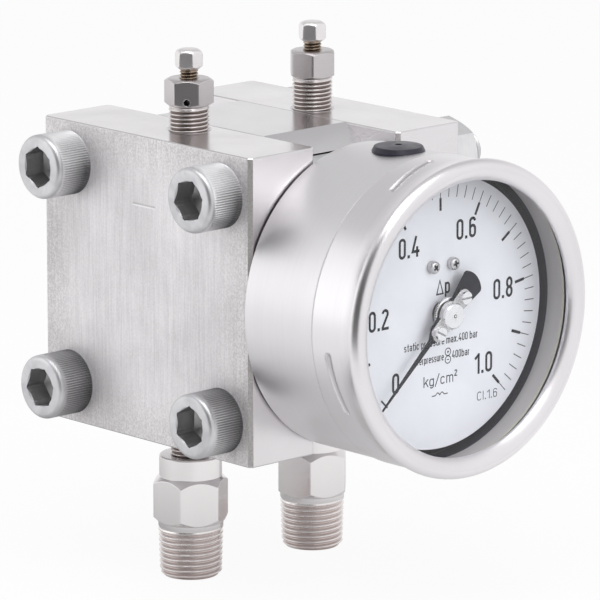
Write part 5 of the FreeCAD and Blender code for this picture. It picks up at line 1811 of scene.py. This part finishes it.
@dataclass(frozen=True)
class PointerSet:
    """Fine-toothed adjusting disc behind the pointer's blade, and the shaft's end in its hub."""

    radius: float = 5.7
    teeth: int = 60
    tooth: float = 0.4
    land: float = 0.7
    inner: float = 2.0
    back: float = -89.2
    front: float = -90.2
    edge: float = 0.1
    hub: float = -93.3
    pin: float = 0.36
    groove: float = 0.62

    def build(self) -> None:
        """Build the disc and the shaft's end."""
        self.disc()
        draft = Draft(facing(0.0, self.hub, CELL_Z), 48)
        rings = draft.circles((self.groove, -0.3), (self.groove, 0.03), (self.pin, 0.03), (self.pin, 0.12),
                              (self.pin * 0.7, 0.2))
        draft.close(rings[0])
        draft.chain(rings[:3], Coat.SECOND)
        draft.chain(rings[2:])
        draft.close(rings[-1])
        add_piece(draft.mesh("pointer_shaft_end"), "pointer", [FINE_FINISH, BORE_FINISH])

    def disc(self) -> None:
        """Build the toothed disc."""
        draft = Draft(facing(0.0, 0.0, CELL_Z), self.teeth * 4)
        teeth = [draft.ring(lambda at: (tooth(at, self.radius, self.tooth, self.teeth), height))
                 for height in (self.edge - self.back, -self.front - self.edge)]
        land = self.radius - self.land
        rings = draft.circles((land, -self.front), (self.inner, -self.front), (self.inner, -self.back),
                              (land, -self.back))
        draft.chain([*teeth, *rings, teeth[0]])
        add_piece(draft.mesh("pointer_adjuster"), "pointer", [FINE_FINISH])


@dataclass(frozen=True)
class SideSigns:
    """Plain plus and minus punched into the plates' outer faces: painted shade, each with a painted highlight beside
    it.
    """

    length: float = 10.7
    width: float = 0.55
    highlight_width: float = 0.45
    lift: float = 0.02
    y: float = 0.6
    z: float = 125.3

    def build(self) -> None:
        """Mark both plates."""
        for side, turns in (("low", (0,)), ("high", (0, 90))):
            place = lengthways(self.y, self.z, SIDE_SIGN[side] * (PLATE_OUTER + self.lift))
            # Painted shade of the groove, then a painted highlight beside it.
            for label, finish, width, shift in (("", MARK_FINISH, self.width, 0.0),
                                                ("_burr", MARK_HIGHLIGHT_FINISH, self.highlight_width, -(self.width + self.highlight_width) / 2)):
                draft = Draft(place)
                for turn in map(math.radians, turns):
                    lie = Vector((math.cos(turn), math.sin(turn)))
                    off, half = Vector((-lie.y, lie.x)) * shift, lie * (self.length / 2)
                    Lettering.ribbon(draft, [off - half, off + half], False, width)
                add_piece(draft.mesh(f"{side}_sign{label}", closed=False), "housing", [finish])


def dress_nodes() -> None:
    """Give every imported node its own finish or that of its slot."""
    slots = {part["node"]: part["material_slot"] for part in frame["record"]["subparts"]}
    for name, node in frame["nodes"].items():
        material = NODE_FINISHES.get(name, SLOT_FINISHES[slots[name]]).material()
        for slot in node.material_slots:
            slot.material = material
        LOG.info("node %s takes %s", name, material.name)


# Studio


@dataclass(frozen=True)
class Studio:
    """Pale floor, soft lamps, a dark flag on the viewer's side and the camera."""

    eye: Triple = (-1.2073, -1.3284, 0.4914)
    target: Triple = (0.01106, -0.01128, 0.08742)
    lens: float = 337.9
    sensor: float = 36.0
    far: float = 20.0
    white: Colour = (1.0, 1.0, 1.0)
    ambient: float = 0.52
    ceiling: float = 0.61
    floor_rings: tuple[float, ...] = (400.0, 1200.0, 5000.0)
    floor_drop: float = 0.1
    floor_colour: Colour = (0.86, 0.86, 0.86)
    floor_glow: float = 0.93
    shade: Pair = (0.46, 1.0)
    shade_reach: Pair = (40.0, 200.0)
    shade_middle: Triple = (-0.02, 0.05, 0.0)
    flag_radius: float = 0.45
    flag_middle: float = 206.0
    flag_span: float = 36.0
    flag_height: float = 0.8
    flag_depth: float = 0.93
    flag_soft: Pair = (0.17, 0.35)
    flag_steps: tuple[int, int] = (40, 10)
    lamp_target: Triple = (0.0, -0.03, 0.09)
    lamps: tuple[tuple[str, Triple, float, float, bool], ...] = (
        ("top", (-0.35, -0.35, 1.25), 1.1, 9.0, True),
        ("left", (-1.05, 0.95, 0.45), 1.3, 2.2, True),
        ("front", (0.45, -1.30, 0.55), 0.9, 4.2, False))

    def build(self) -> None:
        """Set up everything round the gauge."""
        bpy.context.scene.view_settings.view_transform = "Standard"
        self.world()
        self.floor()
        self.flag()
        self.lights()
        self.camera()

    @staticmethod
    def seen(tree: Tree) -> tuple[Socket, Socket]:
        """Masks of rays that look straight at something or through glass, and of rays that see it mirrored.

        Args:
            tree: The tree of a material or a world.

        Returns:
            Both masks.
        """
        path = tree.add("LightPath").outputs
        through = tree.math("GREATER_THAN", path["Is Transmission Ray"], path["Diffuse Depth"])
        return tree.math("MAXIMUM", path["Is Camera Ray"], through), path["Is Glossy Ray"]

    @staticmethod
    def aim(item: bpy.types.Object, place: Triple, target: Triple) -> None:
        """Put a lamp or the camera in its place and turn it to a point.

        Args:
            item: The lamp or camera.
            place: Its place.
            target: The point.
        """
        item.location = place
        item.rotation_euler = (Vector(target) - Vector(place)).to_track_quat("-Z", "Y").to_euler()

    def world(self) -> None:
        """White to look at, and a plain level of light on the object."""
        world = bpy.context.scene.world = bpy.data.worlds.new("studio")
        tree = Tree.cleared(world)
        straight, mirrored = self.seen(tree)
        way = tree.split(tree.add("TexCoord").outputs["Generated"])
        high = tree.span(way[2], (0.05, 0.75), smooth=True)
        dim = tree.times(high, tree.span(way[1], (-0.45, 0.25), (0.0, 1.0 - self.ceiling)))
        sky = tree.times(mirrored, tree.rest(dim))
        strength = tree.math("MAXIMUM", tree.math("MAXIMUM", straight, sky), self.ambient)
        back = tree.add("Background", {"Color": self.white, "Strength": strength})
        tree.add("OutputWorld", {"Surface": back.outputs[0]})

    def floor(self) -> None:
        """Round floor that looks white and keeps a soft shadow, with a painted shadow near the gauge in reflections.
        """
        draft = Draft()
        rings = draft.circles(*((radius, -self.floor_drop) for radius in self.floor_rings))
        draft.close(rings[0])
        draft.chain(rings)
        floor = put("floor", draft.mesh("floor", closed=False))
        material = bpy.data.materials.new("floor")
        tree = Tree.cleared(material)
        straight, mirrored = self.seen(tree)
        # Painted shadow: the floor seen mirrored turns darker towards the gauge.
        off = tree.vector("SUBTRACT", tree.add("TexCoord").outputs["Object"], self.shade_middle)
        near = tree.reach(tree.length(off), self.shade_reach, self.shade)
        share = tree.math("MAXIMUM", tree.times(straight, self.floor_glow), mirrored)
        level = tree.math("MAXIMUM", tree.times(mirrored, near), tree.rest(mirrored))
        matt = tree.add("BsdfDiffuse", {"Color": self.floor_colour})
        glow = tree.add("Emission", {"Color": self.white, "Strength": level})
        mixed = tree.add("MixShader", {0: share, 1: matt.outputs[0], 2: glow.outputs[0]})
        tree.add("OutputMaterial", {"Surface": mixed.outputs[0]})
        floor.data.materials.append(material)

    def flag(self) -> None:
        """Dark curved screen that only shows in reflections, soft towards its ends and top."""
        across, up = self.flag_steps
        points, shades = [], []
        for level in range(up + 1):
            for step in range(across + 1):
                share = step / across
                turn = math.radians(self.flag_middle + self.flag_span * (2 * share - 1))
                points.append((self.flag_radius * math.cos(turn), self.flag_radius * math.sin(turn),
                               self.flag_height * level / up))
                near = min(share, 1 - share) / self.flag_soft[0]
                top = (up - level) / up / self.flag_soft[1]
                ease = min(max(min(near, top), 0.0), 1.0)
                shades.append(1.0 - self.flag_depth * ease * ease * (3 - 2 * ease))
        row = across + 1
        corners = [level * row + step for level in range(up) for step in range(across)]
        mesh = bpy.data.meshes.new("flag")
        mesh.from_pydata(points, [], [(corner, corner + 1, corner + row + 1, corner + row) for corner in corners])
        mesh.attributes.new("shade", "FLOAT", "POINT").data.foreach_set("value", shades)
        material = bpy.data.materials.new("flag")
        tree = Tree.cleared(material)
        value = tree.add("Attribute", attribute_name="shade").outputs["Fac"]
        glow = tree.add("Emission", {"Color": value, "Strength": 1.0})
        tree.add("OutputMaterial", {"Surface": glow.outputs[0]})
        mesh.materials.append(material)
        flag = put("flag", mesh)
        flag.visible_camera = flag.visible_diffuse = flag.visible_shadow = False
        flag.visible_transmission = flag.visible_volume_scatter = False

    def lights(self) -> None:
        """Soft square lamps, each turned to the gauge."""
        for name, place, size, power, mirrored in self.lamps:
            lamp = bpy.data.lights.new(name, "AREA")
            lamp.size = size
            lamp.energy = power
            holder = put(f"lamp_{name}", lamp)
            holder.visible_glossy = mirrored
            self.aim(holder, place, self.lamp_target)

    def camera(self) -> None:
        """Long lens at the picture's angle."""
        data = bpy.data.cameras.new("camera")
        data.lens = self.lens
        data.sensor_width = self.sensor
        data.clip_end = self.far
        camera = bpy.context.scene.camera = put("camera", data)
        self.aim(camera, self.eye, self.target)


def main() -> None:
    """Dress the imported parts, add the pieces and set up the studio."""
    logging.basicConfig(level=logging.INFO, format="%(name)s: %(message)s")
    dress_nodes()
    for group in (ClampBolts(), Adapters(), Vents(), CaseRim(), Diaphragms(), DialFace(), PointerSet(), SideSigns(),
                  Studio()):
        LOG.info("building %s", type(group).__name__)
        group.build()


if __name__ == "__main__":
    main()
